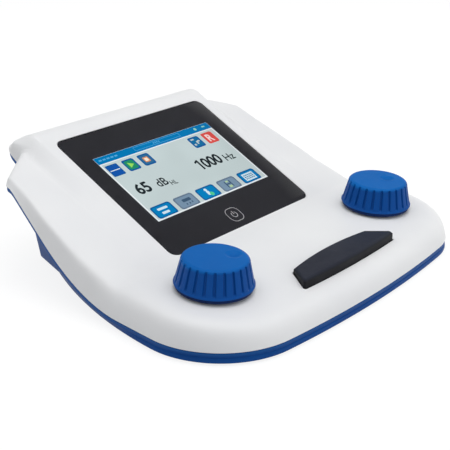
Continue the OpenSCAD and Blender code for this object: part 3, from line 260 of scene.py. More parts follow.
def band(a, b, n):
    """Faces between two closed loops of n points, which start at points a and b."""
    return [(a + i, a + (i + 1) % n, b + (i + 1) % n, b + i) for i in range(n)]


def stack(name, rings, sharp=35.0, matrix=None):
    """Closed solid through rings of equally many points, each an (n, 3) array in mm."""
    n = len(rings[0])
    verts = np.concatenate(rings)
    if matrix is not None:
        verts = place(matrix, verts)
    faces = [f for k in range(len(rings) - 1) for f in band(k * n, (k + 1) * n, n)]
    faces.append(tuple(range(n - 1, -1, -1)))
    faces.append(tuple(range((len(rings) - 1) * n, len(rings) * n)))
    return new_object(name, verts, faces, sharp)


def flat_ring(loop, z):
    loop = np.asarray(loop, float)
    return np.column_stack([loop, np.full(len(loop), float(z))])


def place(matrix, verts):
    m = np.array(matrix)
    return np.asarray(verts) @ m[:3, :3].T + m[:3, 3]


def prism(loop, low, high, matrix=None):
    return stack("cutter", [flat_ring(loop, low), flat_ring(loop, high)], matrix=matrix)


def circle(r, n=96, x=0.0, y=0.0):
    t = 2 * math.pi * np.arange(n) / n
    return np.stack([x + r * np.cos(t), y + r * np.sin(t)], 1)


def box_loop(w, l, x=0.0, y=0.0):
    corners = ((-1, -1), (1, -1), (1, 1), (-1, 1))
    return np.array([[x + i * w / 2, y + j * l / 2] for i, j in corners])


def round_box(w, l, r, x=0.0, y=0.0, steps=14):
    points = []
    for cx, cy, a0 in ((1, 1, 0), (-1, 1, 90), (-1, -1, 180), (1, -1, 270)):
        for k in range(steps + 1):
            a = math.radians(a0 + 90 * k / steps)
            points.append([x + cx * (w / 2 - r) + r * math.cos(a),
                           y + cy * (l / 2 - r) + r * math.sin(a)])
    return np.array(points)


def apply_modifiers(obj):
    dg = bpy.context.evaluated_depsgraph_get()
    me = bpy.data.meshes.new_from_object(obj.evaluated_get(dg))
    obj.modifiers.clear()
    obj.data = me


def cut(obj, cutters, sharp=35.0):
    for c in cutters:
        mod = obj.modifiers.new("cut", "BOOLEAN")
        mod.operation, mod.solver, mod.object = "DIFFERENCE", "EXACT", c
    apply_modifiers(obj)
    for c in cutters:
        bpy.data.objects.remove(c)
    shade(obj, sharp)


def dress(obj, material, body="root", stands_for=()):
    obj.data.materials.clear()
    obj.data.materials.append(material)
    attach(obj, body)
    if stands_for:
        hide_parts(*stands_for)
    return obj


# ---------------------------------------------------------------- materials
def srgb(r, g, b):
    lin = lambda c: c / 12.92 if c <= 0.04045 else ((c + 0.055) / 1.055) ** 2.4
    return tuple(lin(c / 255) for c in (r, g, b))


class Nodes:
    def __init__(self, name):
        self.mat = bpy.data.materials.new(name)
        self.mat.use_nodes = True
        self.tree = self.mat.node_tree
        self.bsdf = self.tree.nodes["Principled BSDF"]
        self.coord = self.tree.nodes.new("ShaderNodeTexCoord").outputs["Object"]

    def add(self, kind, **inputs):
        node = self.tree.nodes.new("ShaderNode" + kind)
        for key, value in inputs.items():
            node.inputs[key.replace("_", " ")].default_value = value
        return node

    def link(self, a, b):
        self.tree.links.new(a, b)

    def feed(self, source, socket):
        self.link(source, self.bsdf.inputs[socket])

    def noise(self, scale, detail, roughness=0.5, stretch=None):
        node = self.add("TexNoise", Scale=scale, Detail=detail, Roughness=roughness)
        source = self.coord
        if stretch:
            mapping = self.add("Mapping")
            mapping.inputs["Scale"].default_value = stretch
            self.link(self.coord, mapping.inputs["Vector"])
            source = mapping.outputs["Vector"]
        self.link(source, node.inputs["Vector"])
        return node.outputs["Fac"]

    def ramp(self, fac, low, high, a, b):
        """a to b as fac goes from low to high; a and b are numbers or colours."""
        if isinstance(a, (int, float)):
            node = self.add("MapRange")
            for key, value in (("From Min", low), ("From Max", high), ("To Min", a), ("To Max", b)):
                node.inputs[key].default_value = value
            self.link(fac, node.inputs["Value"])
            return node.outputs["Result"]
        node = self.add("ValToRGB")
        node.color_ramp.elements[0].position, node.color_ramp.elements[1].position = low, high
        node.color_ramp.elements[0].color, node.color_ramp.elements[1].color = (*a, 1), (*b, 1)
        self.link(fac, node.inputs["Fac"])
        return node.outputs["Color"]

    def bump(self, heights, distance=0.0001):
        """heights: (fac, strength) pairs, laid over one another."""
        last = None
        for fac, strength in heights:
            node = self.add("Bump", Strength=strength, Distance=distance)
            self.link(fac, node.inputs["Height"])
            if last:
                self.link(last, node.inputs["Normal"])
            last = node.outputs["Normal"]
        self.feed(last, "Normal")

    def highlight_edges(self, color, edge, low=0.52, high=0.62):
        """color where the surface is flat, and edge, a painted highlight, on its sharp outer edges.
        """
        geo = self.add("NewGeometry").outputs["Pointiness"]
        mix = self.tree.nodes.new("ShaderNodeMix")
        mix.data_type = "RGBA"
        self.link(self.ramp(geo, low, high, 0.0, 1.0), mix.inputs["Factor"])
        self.link(color, mix.inputs["A"])
        mix.inputs["B"].default_value = (*edge, 1)
        return mix.outputs["Result"]

    def below(self, color, low, high, under):
        """Painted shade: under beneath the height low, in metres, and color above the height high.
        """
        split = self.add("SeparateXYZ")
        self.link(self.coord, split.inputs["Vector"])
        mix = self.tree.nodes.new("ShaderNodeMix")
        mix.data_type = "RGBA"
        self.link(self.ramp(split.outputs["Z"], low, high, 0.0, 1.0), mix.inputs["Factor"])
        mix.inputs["A"].default_value = (*under, 1)
        self.link(color, mix.inputs["B"])
        return mix.outputs["Result"]

    def set(self, **values):
        for key, value in values.items():
            socket = self.bsdf.inputs[key.replace("_", " ")]
            is_color = isinstance(value, tuple) and len(value) == 3
            socket.default_value = (*value, 1) if is_color else value
        return self


def moulded(name, dark, light, rough, grain, grain_strength, wave,
            gloss=0.5, edge=None, shaded_flank=None):
    """Injection-moulded plastic: faint colour drift, fine spark-erosion grain, uneven gloss.

    edge is a painted highlight for sharp outer edges, and flank holds the values of Nodes.below,
    which paints shade on the sides below a height.
    """
    m = Nodes(name)
    drift = m.noise(scale=14.0, detail=3.0)
    color = m.ramp(drift, 0.35, 0.65, dark, light)
    if edge:
        color = m.highlight_edges(color, edge)
    if shaded_flank:
        color = m.below(color, *shaded_flank)
    m.feed(color, "Base Color")
    m.feed(m.ramp(m.noise(scale=60.0, detail=5.0, roughness=0.6), 0.3, 0.7, *rough), "Roughness")
    m.bump([(m.noise(scale=22.0, detail=2.0), wave), (m.noise(grain, 2.0), grain_strength)])
    m.set(IOR=1.5, Specular_IOR_Level=gloss)
    return m.mat


def metal(name, color, rough, stretch=(1, 1, 1), scale=400.0, strength=0.15):
    m = Nodes(name)
    streak = m.noise(scale, 3.0, 0.6, stretch)
    darker, lighter = tuple(c * 0.82 for c in color), tuple(min(1, c * 1.1) for c in color)
    # Sharp edges get the lighter colour as a painted highlight.
    m.feed(m.highlight_edges(m.ramp(streak, 0.3, 0.7, darker, color), lighter), "Base Color")
    gloss = m.noise(scale * 0.5, 3.0)
    m.feed(m.ramp(gloss, 0.3, 0.7, rough * 0.8, rough * 1.25), "Roughness")
    m.bump([(streak, strength)], 0.00005)
    m.set(Metallic=1.0)
    return m.mat


def glowing(name, color, vary=0.04):
    """Part of the lit picture: its own light, with the faint unevenness of a backlight."""
    m = Nodes(name)
    weak = tuple(c * (1 - vary) for c in color)
    full = tuple(min(1.0, c * (1 + vary)) for c in color)
    m.feed(m.ramp(m.noise(30.0, 1.0), 0.35, 0.65, weak, full), "Emission Color")
    m.set(Base_Color=(0.0, 0.0, 0.0), Roughness=0.6, Specular_IOR_Level=0.0, Emission_Strength=1.0)
    return m.mat


def clear(name, rough, ior=1.5):
    m = Nodes(name)
    m.feed(m.ramp(m.noise(25.0, 4.0), 0.4, 0.75, rough * 0.6, rough * 1.8), "Roughness")
    m.set(Base_Color=(1.0, 1.0, 1.0), Transmission_Weight=1.0, IOR=ior)
    return m.mat


# moulded: name, darker and lighter colour, range of roughness, grain's scale and strength, wave
WHITE = moulded("white_case_plastic", (0.80, 0.805, 0.82), (0.84, 0.845, 0.85),
                (0.3, 0.4), 2600.0, 0.04, 0.02, gloss=0.4)
# Its sharp outer edges get a lighter blue as a painted highlight.
BLUE = moulded("blue_case_plastic", srgb(5, 66, 136), srgb(9, 74, 146),
               (0.4, 0.52), 2200.0, 0.12, 0.04, gloss=0.12, edge=srgb(50, 110, 178))
# Painted shade: below its rounded top edge the dial is a darker blue than its top, which reads as
# lit from above.
DIAL = moulded("dial_plastic", srgb(0, 92, 170), srgb(2, 100, 180),
               (0.42, 0.55), 2600.0, 0.14, 0.03, gloss=0.12,
               shaded_flank=(0.0346, 0.0361, srgb(6, 74, 150)))
# The ring under the dial's rim is a real part; its dark navy is painted shade for the shadowed band
# under the rim.
DIAL_FOOT_SHADE = moulded("dial_foot_shade", srgb(5, 34, 84), srgb(8, 40, 94),
                    (0.45, 0.6), 2600.0, 0.14, 0.03, gloss=0.12)
# Painted shade: the key's sides below its top edge are near black, and its sharp edges get a
# lighter colour as a painted highlight.
SLATE = moulded("key_rubber", srgb(42, 45, 57), srgb(49, 53, 65),
                (0.5, 0.66), 3000.0, 0.25, 0.08, gloss=0.25,
                edge=srgb(66, 70, 82), shaded_flank=(0.0209, 0.0222, srgb(13, 14, 21)))
# Its sharp outer edges get a lighter grey as a painted highlight.
CHARCOAL = moulded("panel_plastic", srgb(56, 58, 62), srgb(66, 68, 72),
                   (0.5, 0.62), 2400.0, 0.2, 0.03, gloss=0.4, edge=srgb(100, 102, 106))
# Its sharp outer edges get a lighter grey as a painted highlight.
BLACK = moulded("socket_plastic", srgb(28, 28, 30), srgb(38, 38, 40),
                (0.35, 0.5), 2400.0, 0.12, 0.03, gloss=0.4, edge=srgb(80, 80, 84))
# Real black print, lightened to a grey with no gloss of its own: painted reflection standing in for
# the glass's sheen above it.
PRINT_AND_REFLECTION = moulded("black_print", srgb(62, 62, 67), srgb(66, 66, 71),
                (0.6, 0.7), 300.0, 0.0, 0.0, gloss=0.0)
LIGHT_PRINT = moulded("grey_print", srgb(214, 214, 218), srgb(224, 224, 228),
                      (0.5, 0.6), 300.0, 0.0, 0.0, gloss=0.2)
TAPE = moulded("tape", srgb(60, 60, 60), srgb(72, 72, 72), (0.6, 0.8), 1600.0, 0.3, 0.1)
BOARD = moulded("solder_mask", srgb(20, 84, 48), srgb(30, 100, 58), (0.3, 0.42), 900.0, 0.2, 0.05)
RIBBON = moulded("flat_cable", srgb(198, 196, 184), srgb(212, 210, 200),
                 (0.4, 0.5), 1200.0, 0.2, 0.05)
WRAP = moulded("battery_wrap", srgb(34, 66, 130), srgb(44, 80, 150), (0.2, 0.3), 800.0, 0.2, 0.2)
RUBBER = moulded("foot_rubber", srgb(40, 40, 43), srgb(52, 52, 55), (0.7, 0.85), 2000.0, 0.4, 0.1)
LCD = moulded("display_back", srgb(190, 198, 198), srgb(204, 212, 212),
              (0.3, 0.4), 1000.0, 0.1, 0.02)
STEEL = metal("steel", (0.60, 0.61, 0.63), 0.32, (1, 12, 12))
BRIGHT = metal("bright_zinc", (0.72, 0.73, 0.75), 0.2, (6, 1, 1))
GOLD = metal("gold_plating", (0.83, 0.66, 0.32), 0.22)
GLASS = clear("cover_glass_clear", 0.015, 1.33)
FILM = clear("clear_film", 0.1)

BY_SLOT = {
    "white_case": WHITE, "blue_case": BLUE, "dial_blue": DIAL, "slate_rubber": SLATE,
    "cover_glass": GLASS, "black_print": PRINT_AND_REFLECTION, "clear_film": FILM, "adhesive": TAPE,
    "display": LCD, "steel": STEEL, "bright_screw": BRIGHT, "board": BOARD, "ribbon": RIBBON,
    "black_plastic": BLACK, "charcoal_panel": CHARCOAL, "battery_wrap": WRAP,
    "gold_contact": GOLD, "foot_rubber": RUBBER,
}
for part in frame["record"]["subparts"]:
    data = NODES[part["node"]].data
    data.materials.clear()
    data.materials.append(BY_SLOT[part["material_slot"]])


# ---------------------------------------------------------------- local frames
def rot(axis, degrees):
    return Matrix.Rotation(math.radians(degrees), 4, axis)


PANEL = Matrix.Translation((0, GLASS_Y, GLASS_H)) @ Matrix.Rotation(PANEL_TILT, 4, "X")
GLASS_W, GLASS_L, GLASS_R, GLASS_T = 119.5, 97.3, 5.0, 1.8
KNOB_X, KNOB_Y, KNOB_TILT = 73.0, FRONT_Y + 47.8, 3.67
KNOB_DECK_Z = DECK_H - (KNOB_Y - CREST_Y) ** 2 / (2 * DECK_CROWN_R)


def deck(x):
    return Matrix.Translation((x, KNOB_Y, KNOB_DECK_Z)) @ rot("X", KNOB_TILT)


# the rear panel stays where the solids have it, so its frame goes by their rear lip's height
REAR_RISE = SOLID_LIP_REAR_H - RIM_H - FLOOR_Z - BASE_EDGE_R
REAR_RUN = BASE_SETBACK - REVEAL - RIM_STEP
REAR_LEAN = math.degrees(math.atan(TUB_IN * REAR_RUN / (TUB_UP * REAR_RISE)))
REAR_PANEL_Z = 24.0
REAR_PANEL_UP = REAR_PANEL_Z - FLOOR_Z - BASE_EDGE_R
REAR_WALL_Y = BASE_REAR_Y + REAR_PANEL_UP * math.tan(math.radians(REAR_LEAN))
REAR = (Matrix.Translation((0, REAR_WALL_Y, REAR_PANEL_Z))
        @ rot("X", -90 - REAR_LEAN) @ rot("Z", 180))


# ---------------------------------------------------------------- upper case
MIDDLE_CELLS, FLANK_CELLS, EDGE_CELLS = 28, 12, 10


def cell_xs(edge):
    """Points across the case from -edge to edge, closest over the head's sloping sides."""
    s = min(HEAD_TOP_W / 2, 0.86 * edge)
    f = min(FOOT_HALF, s + (edge - s) * 0.6)
    half = np.concatenate([np.linspace(0, s, MIDDLE_CELLS + 1)[1:],
                           np.linspace(s, f, FLANK_CELLS + 1)[1:],
                           np.linspace(f, edge, EDGE_CELLS + 1)[1:]])
    return np.concatenate([-half[::-1], [0.0], half])


def cap(half, drop, ring_at, rows_at, n):
    """Grid across a ring: inside points and faces, one row for each pair of mirrored points."""
    points, faces, grid = [], [], []
    rows = len(half)
    for i in range(rows):
        right, left = ring_at + i, ring_at + n - 1 - i
        if i == 0 or i == rows - 1:
            grid.append([left, right])
            continue
        xs = cell_xs(half[i][0])[1:-1]
        y = half[i][1]
        z = top_z(xs, np.full_like(xs, y)) - drop
        start = rows_at + len(points)
        points.extend(zip(xs, [y] * len(xs), z))
        grid.append([left] + list(range(start, start + len(xs))) + [right])
    for i in range(1, rows - 2):
        a, b = grid[i], grid[i + 1]
        faces += [(a[c], a[c + 1], b[c + 1], b[c]) for c in range(len(a) - 1)]
    for end, row in ((grid[0], grid[1]), (grid[-1], grid[-2])):
        mid = (len(row) - 1) // 2
        faces += [(end[0] if c < mid else end[1], row[c + 1], row[c]) for c in range(len(row) - 1)]
        faces.append((end[0], end[1], row[mid]))
    return points, faces


def lip_radii(d):
    return [TIP_R - d, HOLLOW_R + d, HEAD_CORNER_R - d]


def lip_outline(d):
    return ring(half_outline(d, d, d, d, lip_radii(d)))


def build_top():
    crown = half_outline(EDGE_ROUND, ROUND_WING, ROUND_HEAD, ROUND_REAR, CROWN_RADII, REAR_BOW)
    low, foot, high = lip_outline(0), lip_outline(FOOT_TUCK), ring(crown)
    n = len(low)
    rings = [np.column_stack([foot, lip_z(foot[:, 1]) + SEAM_GAP])]
    rings += [skirt_ring(low, high, 0.0, SEAM_GAP, k / SKIRT_N) for k in range(SKIRT_N + 1)]
    rings[1][:, 2] += LIP_CHAMFER
    faces = [f for k in range(len(rings) - 1) for f in band(k * n, (k + 1) * n, n)]
    verts = [tuple(v) for r in rings for v in r]
    points, more = cap(crown, 0.0, (len(rings) - 1) * n, len(verts), n)
    verts += points
    faces += more
    inner_low = lip_outline(TOP_WALL)
    inner_at = len(verts)
    for k in range(INNER_N + 1):
        inner = skirt_ring(inner_low, high, TOP_WALL, SEAM_GAP, k / INNER_N)
        verts += [tuple(v) for v in inner]
    for k in range(INNER_N):
        faces += band(inner_at + k * n, inner_at + (k + 1) * n, n)
    points, more = cap(crown, TOP_WALL, inner_at + INNER_N * n, len(verts), n)
    verts += points
    faces += more
    faces += band(inner_at, 0, n)
    return new_object("upper_case", verts, faces)


KEY_FRONT_X, KEY_REAR_X, KEY_FRONT, KEY_REAR = 42.0, 32.3, 16.7, 30.2
KEY_FRONT_BOW, KEY_REAR_BOW = 1.4, 2.8


def key_loop(g, corner, steps=24, arc=8):
    """Outline of the key grown by g, with its four corners rounded."""
    yf, yr = FRONT_Y + KEY_FRONT - g, FRONT_Y + KEY_REAR + g
    xf, xr = KEY_FRONT_X + 1.3 * g, KEY_REAR_X + 0.7 * g
    t = np.linspace(-1, 1, steps + 1)
    front = np.stack([xf * t, yf - KEY_FRONT_BOW * (1 - t * t)], 1)
    rear = np.stack([-xr * t, yr + KEY_REAR_BOW * (1 - t * t)], 1)
    fl, fr, rr, rl = front[0], front[-1], rear[0], rear[-1]
    return np.concatenate([
        round_corner(rl, fl, front[2], corner, arc), front[2:-2],
        round_corner(front[-3], fr, rr, corner, arc),
        round_corner(fr, rr, rear[2], corner, arc), rear[2:-2],
        round_corner(rear[-3], rl, fl, corner, arc),
    ])


# the cutters' outer ends stand clear of the case
POCKET_GAP, POCKET_DEPTH = 0.3, 4.6
KEY_GAP, KEY_HOLE_R, KEY_HOLE_LOW = 0.5, 1.2, 14.0
SEAT_R, SEAT_DEPTH, SHAFT_HOLE_R = 10.0, 0.4, 4.8
upper = build_top()
pocket = round_box(GLASS_W + 2 * POCKET_GAP, GLASS_L + 2 * POCKET_GAP, GLASS_R + POCKET_GAP)
openings = [prism(pocket, -POCKET_DEPTH, 12, PANEL),
            prism(key_loop(KEY_GAP, KEY_HOLE_R), KEY_HOLE_LOW, 40)]
openings += [prism(circle(SEAT_R), -SEAT_DEPTH, 6, deck(side * KNOB_X)) for side in (-1, 1)]
openings += [prism(circle(SHAFT_HOLE_R, 64), -8, 3, deck(side * KNOB_X)) for side in (-1, 1)]
cut(upper, openings, sharp=32.0)
even_normals(upper)
dress(upper, WHITE, stands_for=("top_shell",))


# ---------------------------------------------------------------- lower case
EDGE_ROWS, BEND_ROWS, BEND_LOW, BEND_HIGH = 4, 8, 0.9, 0.32
RIM_LEDGE, RIM_CHAMFER, WELL_LIFT = 0.5, 0.25, 0.5


def lip_ring(d, down):
    p = lip_outline(d)
    return np.column_stack([p, lip_z(p[:, 1]) - down])


def part_way(a, b, plan, height, lift=0.0):
    """Ring between the rings a and b, at the given shares of the way across and up."""
    flat = a[:, :2] + (b[:, :2] - a[:, :2]) * plan
    return np.column_stack([flat, a[:, 2] + (b[:, 2] - a[:, 2]) * height + lift])


def build_base():
    edge = flat_ring(ring(half_base(0)), FLOOR_Z + BASE_EDGE_R)
    rings = []
    for k in range(EDGE_ROWS + 1):
        a = math.radians(90 * k / EDGE_ROWS)
        inset, rise = BASE_EDGE_R * (1 - math.sin(a)), BASE_EDGE_R * (1 - math.cos(a))
        rings.append(flat_ring(ring(half_base(inset)), FLOOR_Z + rise))
    rim = lip_ring(REVEAL + RIM_STEP, RIM_H)
    tub = part_way(edge, rim, TUB_IN, TUB_UP)
    # the wall bends round between its lower and its upper run
    start, end = edge + (tub - edge) * BEND_LOW, tub + (rim - tub) * BEND_HIGH
    for k in range(BEND_ROWS + 1):
        t = k / BEND_ROWS
        rings.append(start * (1 - t) ** 2 + tub * 2 * t * (1 - t) + end * t * t)
    rings.append(rim)
    rings.append(lip_ring(REVEAL, RIM_H - RIM_LEDGE))
    rings.append(lip_ring(REVEAL, RIM_CHAMFER))
    rings.append(lip_ring(REVEAL + RIM_CHAMFER, 0.0))
    well = flat_ring(ring(half_base(BASE_WALL)), FLOOR_Z + BASE_WALL)
    inner_lip = lip_ring(REVEAL + BASE_WALL, 0.0)
    rings += [inner_lip, part_way(well, inner_lip, TUB_IN, TUB_UP, WELL_LIFT), well]
    return stack("lower_case", rings)


REAR_PANEL_W, REAR_PANEL_L, REAR_PANEL_R = 132.0, 30.0, 3.0
REAR_PANEL_GAP, REAR_PANEL_DEPTH, REAR_OPENING_W, REAR_OPENING_L = 0.3, 2.0, 116, 24
BATTERY_Y, DOOR_W, DOOR_L, DOOR_GAP, DOOR_DEPTH, DOOR_LEDGE = 40.0, 58.0, 32.0, 0.3, 1.8, 2.0
SPEAKER_X, SPEAKER_Y, SLOT_W, SLOT_L, SLOT_STEP, SLOT_PITCH = 45, -7.2, 1.6, 20, 3, 4
SCREW_HOLE_R, SCREW_HOLE_DEPTH, FOOT_SEAT_R, FOOT_SEAT_DEPTH = 3.2, 3.2, 6.2, 0.8
CASE_POINTS = [(94, -44), (42, -89.6), (73.5, 44)]
FOOT_POINTS = [(84, -62), (62, 60)]
lower = build_base()
recess = round_box(REAR_PANEL_W + 2 * REAR_PANEL_GAP, REAR_PANEL_L + 2 * REAR_PANEL_GAP,
                   REAR_PANEL_R)
door = box_loop(DOOR_W + 2 * DOOR_GAP, DOOR_L + 2 * DOOR_GAP, 0, BATTERY_Y)
bay = box_loop(DOOR_W - 2 * DOOR_LEDGE, DOOR_L - 2 * DOOR_LEDGE, 0, BATTERY_Y)
cutters = [
    prism(recess, -REAR_PANEL_DEPTH, 6, REAR),
    prism(box_loop(REAR_OPENING_W, REAR_OPENING_L), -8, -REAR_PANEL_DEPTH + 0.1, REAR),
    prism(door, 0, FLOOR_Z + DOOR_DEPTH),
    prism(bay, 1.0, 8),
]
for i in range(-2, 3):
    slot = box_loop(SLOT_W, SLOT_L - SLOT_STEP * abs(i), SPEAKER_X + SLOT_PITCH * i, SPEAKER_Y)
    cutters.append(prism(slot, -1, 6))
for side in (-1, 1):
    cutters += [prism(circle(SCREW_HOLE_R, 48, side * x, y), -1, FLOOR_Z + SCREW_HOLE_DEPTH)
                for x, y in CASE_POINTS]
    cutters += [prism(circle(FOOT_SEAT_R, 64, side * x, y), -1, FLOOR_Z + FOOT_SEAT_DEPTH)
                for x, y in FOOT_POINTS]
cut(lower, cutters)
even_normals(lower)
dress(lower, BLUE, stands_for=("bottom_shell",))


# ---------------------------------------------------------------- dials
KNOB_D, KNOB_FLAT_R, KNOB_H, KNOB_BASE_D = 39.8, 14.6, 15.4, 34.6
GROOVES, GROOVE_W, GROOVE_DEPTH, KNOB_RIM, ROUND_OUT, ROUND_UP = 24, 1.3, 0.95, 0.6, 2.3, 2.0
KNOB_LIFT, KNOB_TURN, RIM_LOW, RIM_TOP = 1.0, -28, 1.8, 2.95
GROOVE_BLEND, GROOVE_LOW, GROOVE_RUN, GROOVE_TOP = 0.5, 3.1, 0.9, 0.45
# the rim's edge: how far inside the dial's widest radius, and at what height
RIM_EDGE = [(0.6, 1.82), (0.15, 1.88), (0.0, 2.02), (0.0, 2.15), (0.04, 2.32), (0.14, 2.5),
            (0.34, 2.68)]
WELL_R, WELL_LOW, WELL_TOP = 9.5, 0.2, 4.1
BALL_R, DIMPLE_DEPTH, DIMPLE_LIP = 8.2, 1.1, 0.25
DIAL_SIDE_N, DIAL_EDGE_N, DIAL_TOP_N = 26, 10, 43
# the ring under the rim: its outer radius and height, and where its inner edge lies in the dial
FOOT_RING, FOOT_RING_IN = [(18.9, 0.05), (19.2, 0.3), (19.25, 1.84)], KNOB_BASE_D / 2 - 0.1


def smooth(t):
    t = np.clip(t, 0, 1)
    return t * t * (3 - 2 * t)


def dial_frame(x):
    return deck(x) @ Matrix.Translation((0, 0, KNOB_LIFT))


def dial_profile():
    """(radius, height) pairs: underside, rim, side, rounded edge and flat top."""
    base_r, side_r, top_r = KNOB_BASE_D / 2, KNOB_D / 2 - KNOB_RIM, KNOB_FLAT_R + ROUND_OUT
    side_h = KNOB_H - ROUND_UP - RIM_TOP
    profile = [(9.7, 0.0), (10.4, 0.0), (base_r - 0.4, 0.0), (base_r, 0.06), (base_r, RIM_LOW)]
    profile += [(KNOB_D / 2 - inset, z) for inset, z in RIM_EDGE] + [(side_r, RIM_TOP)]
    profile += [(side_r + (top_r - side_r) * t, RIM_TOP + side_h * t)
                for t in np.linspace(0, 1, DIAL_SIDE_N + 1)[1:]]
    for k in range(1, DIAL_EDGE_N + 1):
        a = math.radians(90 * k / DIAL_EDGE_N)
        profile.append((KNOB_FLAT_R + ROUND_OUT * math.cos(a),
                        KNOB_H + ROUND_UP * (math.sin(a) - 1)))
    edge_r = profile[-1][0]
    return profile + [(edge_r * t, KNOB_H) for t in np.linspace(1, 0, DIAL_TOP_N + 1)[1:-1]]


def build_knob(name, dimple_x, x):
    # angles: close together across each groove
    step = 2 * math.pi / GROOVES
    half = GROOVE_W / (KNOB_D - 2) * 1.35
    across = np.concatenate([np.linspace(-half, half, 13), np.linspace(half, step - half, 9)[1:-1]])
    theta = np.concatenate([across + step * (k + 0.5) for k in range(GROOVES)])
    n = len(theta)
    # the groove's cross-section, and its run up the side, which starts and ends smoothly
    off_middle = np.abs(np.tile(across, GROOVES)) * (KNOB_D / 2 - KNOB_RIM)
    groove = 1 - smooth((off_middle - GROOVE_W / 2 + GROOVE_BLEND / 2) / GROOVE_BLEND)
    rings = []
    for r, z in dial_profile():
        run = smooth((z - GROOVE_LOW) / GROOVE_RUN) * smooth(KNOB_H - GROOVE_TOP - z)
        rr = r - GROOVE_DEPTH * groove * run * (1.0 if r > KNOB_FLAT_R else 0.0)
        px, py, pz = rr * np.cos(theta), rr * np.sin(theta), np.full(n, z)
        if z >= KNOB_H - 0.01:
            square = BALL_R * BALL_R
            d2 = (px - dimple_x) ** 2 + py ** 2
            bowl = KNOB_H - DIMPLE_DEPTH + BALL_R - np.sqrt(square - np.minimum(d2, square * 0.9))
            lip = np.maximum(DIMPLE_LIP - np.abs(pz - bowl), 0) ** 2 / (4 * DIMPLE_LIP)
            pz = np.minimum(pz, bowl) - lip
        rings.append(np.column_stack([px, py, pz]))
    verts = np.concatenate(rings + [np.array([[0.0, 0.0, KNOB_H]])])
    faces = [f for k in range(len(rings) - 1) for f in band(k * n, (k + 1) * n, n)]
    last = (len(rings) - 1) * n
    faces += [(last + i, last + (i + 1) % n, len(verts) - 1) for i in range(n)]
    # the hollow underneath
    wall = np.column_stack([WELL_R * np.cos(theta), WELL_R * np.sin(theta)])
    at = len(verts)
    verts = np.concatenate([verts, flat_ring(wall, WELL_LOW), flat_ring(wall, WELL_TOP),
                            np.array([[0.0, 0.0, WELL_TOP]])])
    faces += band(0, at, n) + band(at, at + n, n)
    faces += [(at + n + i, at + n + (i + 1) % n, len(verts) - 1) for i in range(n)]
    return new_object(name, place(dial_frame(x) @ rot("Z", KNOB_TURN), verts), faces, 50.0)


def build_foot_ring(name, x):
    """The ring under a dial's rim; its dark navy is painted shade."""
    outline = [(FOOT_RING_IN, FOOT_RING[0][1])] + FOOT_RING + [(FOOT_RING_IN, FOOT_RING[-1][1])]
    loops = [flat_ring(circle(r, 144), z) for r, z in outline]
    n = len(loops[0])
    faces = [f for k in range(len(loops)) for f in band(k * n, (k + 1) % len(loops) * n, n)]
    return new_object(name, place(dial_frame(x), np.concatenate(loops)), faces, 40.0)


dress(build_knob("dial_left", 9.3, -KNOB_X), DIAL, "left_dial", ("left_knob",))
dress(build_knob("dial_right", 6.0, KNOB_X), DIAL, "right_dial", ("right_knob",))
dress(build_foot_ring("dial_foot_left", -KNOB_X), DIAL_FOOT_SHADE, "left_dial")
dress(build_foot_ring("dial_foot_right", KNOB_X), DIAL_FOOT_SHADE, "right_dial")


# ---------------------------------------------------------------- presenter key
KEY_LOW, KEY_FLANGE_TOP, KEY_HOLLOW_TOP, KEY_FLANGE, KEY_WALL = 12.7, 14.0, 20.5, 1.8, 2.2
# growth and height, from where the key's edge starts to round to its top
KEY_EDGE = [(0.0, 20.95), (-0.03, 21.15), (-0.12, 21.33), (-0.5, 21.75), (-0.9, 22.17),
            (-1.06, 22.31), (-1.25, 22.41), (-1.5, 22.46), (-2.0, 22.485), (-3.2, 22.5)]


def build_key():
    hollow, flange = key_loop(-KEY_WALL, 0.6), key_loop(KEY_FLANGE, 1.5)
    rings = [flat_ring(hollow, KEY_HOLLOW_TOP), flat_ring(hollow, KEY_LOW),
             flat_ring(flange, KEY_LOW), flat_ring(flange, KEY_FLANGE_TOP),
             flat_ring(key_loop(0.0, 1.0), KEY_FLANGE_TOP)]
    rings += [flat_ring(key_loop(g, max(0.55, 1.0 + g * 0.3)), z) for g, z in KEY_EDGE]
    return stack("key_cap", rings, sharp=40.0)


dress(build_key(), SLATE, "presenter", ("presenter_key",))


# ---------------------------------------------------------------- display
LIT_W, LIT_L, LIT_UP = 95.04, 53.86, 2.4
WINDOW_W, WINDOW_L = LIT_W + 0.3, LIT_L + 0.3
PRINT_Z, PRINT_T, PRINT_INSET, SYMBOL_LIFT = -0.62, 1.0, 0.25, 0.02
UI_Z, UI_STEP, UI_OVERLAP = PRINT_Z - 0.02, 0.012, 0.001
# inset and height up the pane's edge
PANE_EDGE = [(0.2, -GLASS_T), (0.0, -GLASS_T + 0.2), (0.0, -0.25), (0.07, -0.08), (0.25, 0.0)]


def glass_ring(inset, z):
    return flat_ring(round_box(GLASS_W - 2 * inset, GLASS_L - 2 * inset, GLASS_R - inset), z)


pane = stack("glass_pane", [glass_ring(*row) for row in PANE_EDGE], sharp=25.0, matrix=PANEL)
dress(pane, GLASS, stands_for=("cover_glass",))
pane.visible_shadow = False  # the lamps reach what lies behind the pane

outer = round_box(GLASS_W - 2 * PRINT_INSET, GLASS_L - 2 * PRINT_INSET, GLASS_R - 0.2)
window = round_box(WINDOW_W, WINDOW_L, 0.15, 0, LIT_UP)
n = len(outer)
verts = np.concatenate([flat_ring(outer, PRINT_Z), flat_ring(window, PRINT_Z),
                        flat_ring(outer, PRINT_Z - PRINT_T), flat_ring(window, PRINT_Z - PRINT_T)])
faces = band(0, n, n) + band(2 * n, 3 * n, n) + band(0, 2 * n, n) + band(n, 3 * n, n)
mask = new_object("glass_print", place(PANEL, verts), faces, 30.0)
dress(mask, PRINT_AND_REFLECTION, stands_for=("bezel_mask",))


